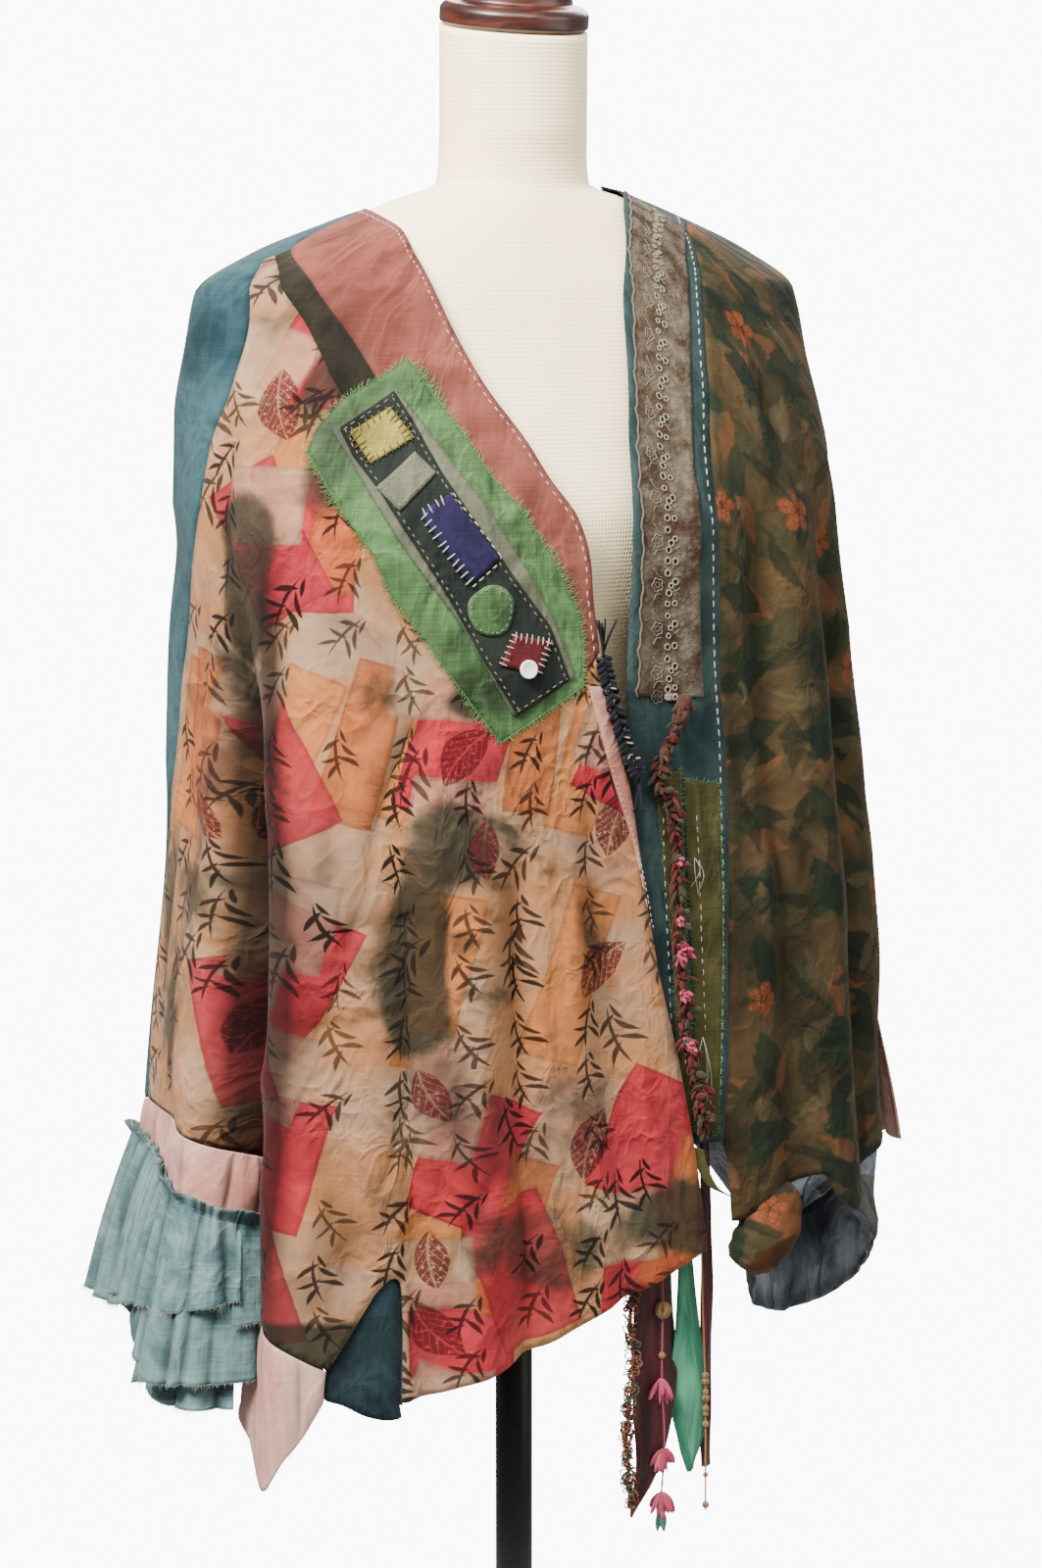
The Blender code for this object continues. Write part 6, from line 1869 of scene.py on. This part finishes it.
def yarn(name):
    """Spun yarn: each strand takes its colour from the strands' own tone, with fine hairs along it."""
    finish = Finish(name, Roughness=0.95, Sheen_Weight=0.06, Sheen_Roughness=0.6, Specular_IOR_Level=0.15)
    hairs = finish.noise(finish.solid, 1400, 3, 0.7, 1.0)
    stops = YARNS[name]
    spread = [(k / (len(stops) - 1), srgb(*stop)) for k, stop in enumerate(stops)]
    colour = finish.flat.node("ValToRGB", {0: finish.attribute("tone")}, stops=spread)
    return finish.end(colour.scaled(hairs * 0.6 + 0.7), hairs, 0.0004)


def shell(name):
    """Clouded white shell under a clear coat."""
    finish = Finish(name, Roughness=0.25, Coat_Weight=0.5)
    cloud = finish.noise(finish.solid, 240, 3, 0.6, 1.0, 1.5)
    return finish.end(finish.blend((244, 240, 236), (214, 206, 204), cloud, 0.9))


def jersey(name):
    """Cream knitted cover: fine columns of stitches, a little uneven."""
    finish = Finish(name, Roughness=0.9, Sheen_Weight=0.1)
    x, y, z = finish.solid.parts()
    ribs = ((x + y * 0.6) * 2400).sin() * 0.5 + (z * 2100).sin() * 0.5
    cloud = finish.noise(finish.solid, 7, 3, 0.6, 1.0)
    return finish.end(finish.blend((255, 242, 208), (252, 230, 182), cloud, 1.0), ribs, 0.00025, 0.5)


def mahogany(name):
    """Polished wood: drawn-out figure round the turning, under a clear coat."""
    finish = Finish(name, Roughness=0.4, Coat_Weight=0.2, Coat_Roughness=0.2)
    figure = finish.noise(finish.solid, (26, 26, 130), 4, 0.6, 3.0, 1.2)
    pores = finish.noise(finish.solid, (900, 900, 120), 2, 0.5, 4.0)
    colour = finish.blend((110, 42, 20), (54, 16, 8), figure.between(0.36, 0.66)).scaled(pores * 0.35 + 0.82)
    return finish.end(colour, figure + pores * 0.3, 0.0001)


def iron(name):
    """Dark iron, speckled in colour and roughness."""
    finish = Finish(name, Metallic=0.6)
    speck = finish.noise(finish.solid, 900, 3, 0.6, 2.0)
    finish.tree.links.new((speck * 0.25 + 0.32).socket, finish.shader.inputs["Roughness"])
    return finish.end(finish.blend((40, 40, 42), (22, 22, 24), speck), speck, 0.0001)


# Strand colours, from tone 0 to tone 1
YARNS = {
    "rust_yarn": ((120, 50, 36), (60, 78, 50), (150, 84, 52), (46, 92, 80)),
    "pink_yarn": ((196, 60, 96), (238, 120, 150)),
    "tan_yarn": ((150, 104, 66), (204, 164, 116)),
    "navy_yarn": ((16, 18, 50), (26, 26, 36), (10, 12, 26), (226, 214, 180)),
    "white_thread": ((214, 206, 190), (250, 246, 236)),
    "patch_thread": ((120, 96, 34), (170, 170, 150), (26, 26, 34)),
    "green_thread": ((104, 112, 90), (128, 190, 114), (190, 180, 90)),
    "pale_fray": ((186, 200, 190), (150, 176, 172), (234, 170, 156)),
    # The lace thread's first colour, for tone 0, is the painted shade in the eyelets' holes.
    "lace_thread": ((18, 12, 10), (112, 98, 84), (196, 184, 162)),
    "mixed_yarn": ((112, 34, 32), (96, 44, 30), (38, 84, 58), (60, 90, 50)),
    "boucle": ((168, 104, 74), (110, 56, 40), (46, 96, 78)),
}

# What makes each finish that is neither yarn nor usual linen, and its values
FINISHES = {
    "print_cloth": (print_cloth,),
    "ruffle_linen": (linen, 0.22),
    "dark_linen": (linen, 0.2),
    "strip_linen": (linen, 0.2),
    "green_linen": (linen, 0.25, 0.6, 12.0, 0.002, 0.05),
    "yellow_linen": (linen, 0.25),
    "olive_linen": (linen, 0.25),
    "lining_cotton": (linen, 0.1, 0.92, 9.0, 0.003),
    "flower_cloth": (flower_cloth,),
    "roll_cloth": (flower_cloth, 0.95),
    "eyelet_lace": (eyelet_lace,),
    "maroon_silk": (silk,),
    "green_silk": (silk,),
    "white_shell": (shell,),
    "cream_jersey": (jersey,),
    "mahogany": (mahogany,),
    "black_iron": (iron,),
}


def finished(name):
    """A material by its finish's name, made at its first use."""
    maker, *values = FINISHES.get(name, (yarn if name in YARNS else linen,))
    return bpy.data.materials.get("jacket_" + name) or maker(name, *values)


# The stage

AIM = (0.0048, -0.0025, 0.965)
AZIMUTH, ELEVATION, DISTANCE, LENS = math.radians(-28), math.radians(9.5), 2.6, 80.73

# Each lamp: azimuth and height in degrees, size in metres, power in watts and colour
LAMPS = (
    ("key", -66, 46, 1.0, 400, (1.0, 0.96, 0.9)),
    ("front", -10, 50, 1.5, 70, (1.0, 0.97, 0.92)),
    ("fill", 40, 20, 2.2, 58, (1.0, 0.95, 0.86)),
    ("back", 140, 40, 1.8, 130, (1.0, 0.98, 0.95)),
)
LAMP_DISTANCE, FLOOR_REACH = 3.0, 0.84
ROOM_COLOUR, ROOM_LIGHT, WALL_LIGHT = (1.0, 0.975, 0.94, 1), 0.45, 13.0


def camera_axes(azimuth, elevation):
    back = np.array((math.sin(azimuth) * math.cos(elevation), -math.cos(azimuth) * math.cos(elevation),
        math.sin(elevation)))
    right = np.array((math.cos(azimuth), math.sin(azimuth), 0))
    return right, np.cross(back, right), back


def aim(made, azimuth, elevation, distance):
    """Puts a camera or light at a distance from the aim point, looking at it."""
    axes = camera_axes(azimuth, elevation)
    place = Matrix(np.column_stack(axes).tolist()).to_4x4()
    place.translation = np.array(AIM) + distance * axes[2]
    made.matrix_world = place


def stage():
    scene = bpy.context.scene
    camera = bpy.data.cameras.new("camera")
    camera.lens, camera.sensor_width = LENS, 36
    scene.camera = shown("camera", camera)
    aim(scene.camera, AZIMUTH, ELEVATION, DISTANCE)
    for name, azimuth, elevation, size, power, colour in LAMPS:
        light = bpy.data.lights.new(name, "AREA")
        light.energy, light.size, light.color = power, size, colour
        aim(shown(name, light), math.radians(azimuth), math.radians(elevation), LAMP_DISTANCE)
    scene.world = bpy.data.worlds.new("studio")
    scene.world.use_nodes = True
    tree = scene.world.node_tree
    room = Shade(tree, tree.nodes["Background"].outputs[0])
    for socket, value in (("Color", ROOM_COLOUR), ("Strength", ROOM_LIGHT)):
        tree.nodes["Background"].inputs[socket].default_value = value
    wall = room.node("Background", {"Strength": WALL_LIGHT})
    seen = room.node("LightPath", output="Is Camera Ray")
    mixed = room.node("MixShader", {0: seen, 1: room, 2: wall})
    tree.links.new(mixed.socket, tree.nodes["World Output"].inputs[0])
    turns = np.linspace(0, 2 * np.pi, 96, endpoint=False)
    floor = bpy.data.meshes.new("floor")
    floor.from_pydata(np.column_stack([FLOOR_REACH * circle(turns), np.full(96, -0.001)]), [],
        [list(range(96))])
    floor.materials.append(pale_floor())
    shown("floor", floor)


def pale_floor():
    """A pale floor that fades into the white wall round it."""
    finish = Finish("pale_floor", Roughness=0.8, Specular_IOR_Level=0.1, Base_Color=(0.86, 0.85, 0.83, 1))
    alpha = finish.solid.length().between(FLOOR_REACH, 0.45 * FLOOR_REACH)
    finish.tree.links.new(alpha.socket, finish.shader.inputs["Alpha"])
    return finish.material


# Operators and panel

def done(*steps):
    """Calls the functions that make an operator's pieces."""
    for step in steps:
        step()
    return {"FINISHED"}


class JACKET_OT_stage(bpy.types.Operator):
    """Sets the camera, the lamps, the white wall and the pale floor"""
    bl_idname = "jacket.stage"
    bl_label = "Stage"

    def execute(self, context):
        return done(stage)


class JACKET_OT_form(bpy.types.Operator):
    """Makes the torso, the neck cap, the pole and the base"""
    bl_idname = "jacket.form"
    bl_label = "Dress form"

    def execute(self, context):
        return done(make_form)


class JACKET_OT_right_front(bpy.types.Operator):
    """Cuts the printed front, the neckline band, the dark strip and the pink facing"""
    bl_idname = "jacket.right_front"
    bl_label = "Right front"

    def execute(self, context):
        return done(right_pieces)


class JACKET_OT_patches(bpy.types.Operator):
    """Lays the applied patches and the disc on the right front"""
    bl_idname = "jacket.patches"
    bl_label = "Small patches"

    def execute(self, context):
        return done(patch_pieces)


class JACKET_OT_patch_sewing(bpy.types.Operator):
    """Sews the small patches and the neckline, and frays the edges"""
    bl_idname = "jacket.patch_sewing"
    bl_label = "Patch sewing"

    def execute(self, context):
        return done(patch_sewing)


class JACKET_OT_right_cuff(bpy.types.Operator):
    """Gathers the pink cuff band and the teal ruffles below it"""
    bl_idname = "jacket.right_cuff"
    bl_label = "Right cuff"

    def execute(self, context):
        return done(right_ruffles)


class JACKET_OT_underarms(bpy.types.Operator):
    """Hangs the teal panels under both arms"""
    bl_idname = "jacket.underarms"
    bl_label = "Side panels"

    def execute(self, context):
        return done(underarms)


class JACKET_OT_back(bpy.types.Operator):
    """Cuts the back, over both shoulders"""
    bl_idname = "jacket.back"
    bl_label = "Back"

    def execute(self, context):
        return done(back_piece)


class JACKET_OT_left_front(bpy.types.Operator):
    """Cuts the flowered front, its band, the lace and the olive strips"""
    bl_idname = "jacket.left_front"
    bl_label = "Left front"

    def execute(self, context):
        return done(left_pieces)


class JACKET_OT_lace(bpy.types.Operator):
    """Works the eyelets, flowers and corded edge of the lace"""
    bl_idname = "jacket.lace"
    bl_label = "Lace embroidery"

    def execute(self, context):
        return done(trim_embroidery)


class JACKET_OT_left_sewing(bpy.types.Operator):
    """Sews the left band and the olive strips, with their loose threads"""
    bl_idname = "jacket.left_sewing"
    bl_label = "Left sewing"

    def execute(self, context):
        return done(left_sewing)


class JACKET_OT_left_cuff(bpy.types.Operator):
    """Turns the left cuff with its lining, its roll and the pink frill"""
    bl_idname = "jacket.left_cuff"
    bl_label = "Left cuff"

    def execute(self, context):
        return done(left_cuff, left_roll, left_frill)


class JACKET_OT_ribbons(bpy.types.Operator):
    """Hangs the maroon and green ribbons"""
    bl_idname = "jacket.ribbons"
    bl_label = "Ribbons"

    def execute(self, context):
        return done(ribbons)


class JACKET_OT_yarns(bpy.types.Operator):
    """Hangs the boucle, tufted and tan yarns"""
    bl_idname = "jacket.yarns"
    bl_label = "Yarns"

    def execute(self, context):
        return done(hanging_yarns)


class JACKET_OT_braids(bpy.types.Operator):
    """Plaits the yarn and navy braids, and folds the olive tie"""
    bl_idname = "jacket.braids"
    bl_label = "Braids"

    def execute(self, context):
        return done(braids)


class JACKET_OT_button(bpy.types.Operator):
    """Turns the white button"""
    bl_idname = "jacket.button"
    bl_label = "Button"

    def execute(self, context):
        return done(button)


PIECES = (JACKET_OT_stage, JACKET_OT_form, JACKET_OT_right_front, JACKET_OT_patches, JACKET_OT_patch_sewing,
    JACKET_OT_right_cuff, JACKET_OT_underarms, JACKET_OT_back, JACKET_OT_left_front, JACKET_OT_lace,
    JACKET_OT_left_sewing, JACKET_OT_left_cuff, JACKET_OT_ribbons, JACKET_OT_yarns, JACKET_OT_braids,
    JACKET_OT_button)


class JACKET_PT_pieces(bpy.types.Panel):
    """The pieces in the order they are made, and the sizes and colours they read"""
    bl_idname = "JACKET_PT_pieces"
    bl_label = "Patchwork jacket"
    bl_space_type = "VIEW_3D"
    bl_region_type = "UI"
    bl_category = "Jacket"

    def draw(self, context):
        column = self.layout.column(align=True)
        for piece in PIECES:
            column.operator(piece.bl_idname)
        for group in (context.scene.jacket_sizes, context.scene.jacket_colours):
            box = self.layout.box()
            for name in type(group).__annotations__:
                box.prop(group, name)


CLASSES = (JACKET_PG_sizes, JACKET_PG_colours, *PIECES, JACKET_PT_pieces)


def register():
    for made in CLASSES:
        bpy.utils.register_class(made)
    bpy.types.Scene.jacket_sizes = PointerProperty(type=JACKET_PG_sizes)
    bpy.types.Scene.jacket_colours = PointerProperty(type=JACKET_PG_colours)


def unregister():
    del bpy.types.Scene.jacket_sizes, bpy.types.Scene.jacket_colours
    for made in reversed(CLASSES):
        bpy.utils.unregister_class(made)


def main():
    register()
    for piece in PIECES:
        getattr(bpy.ops.jacket, piece.bl_idname.split(".")[1])()


if __name__ == "__main__":
    main()
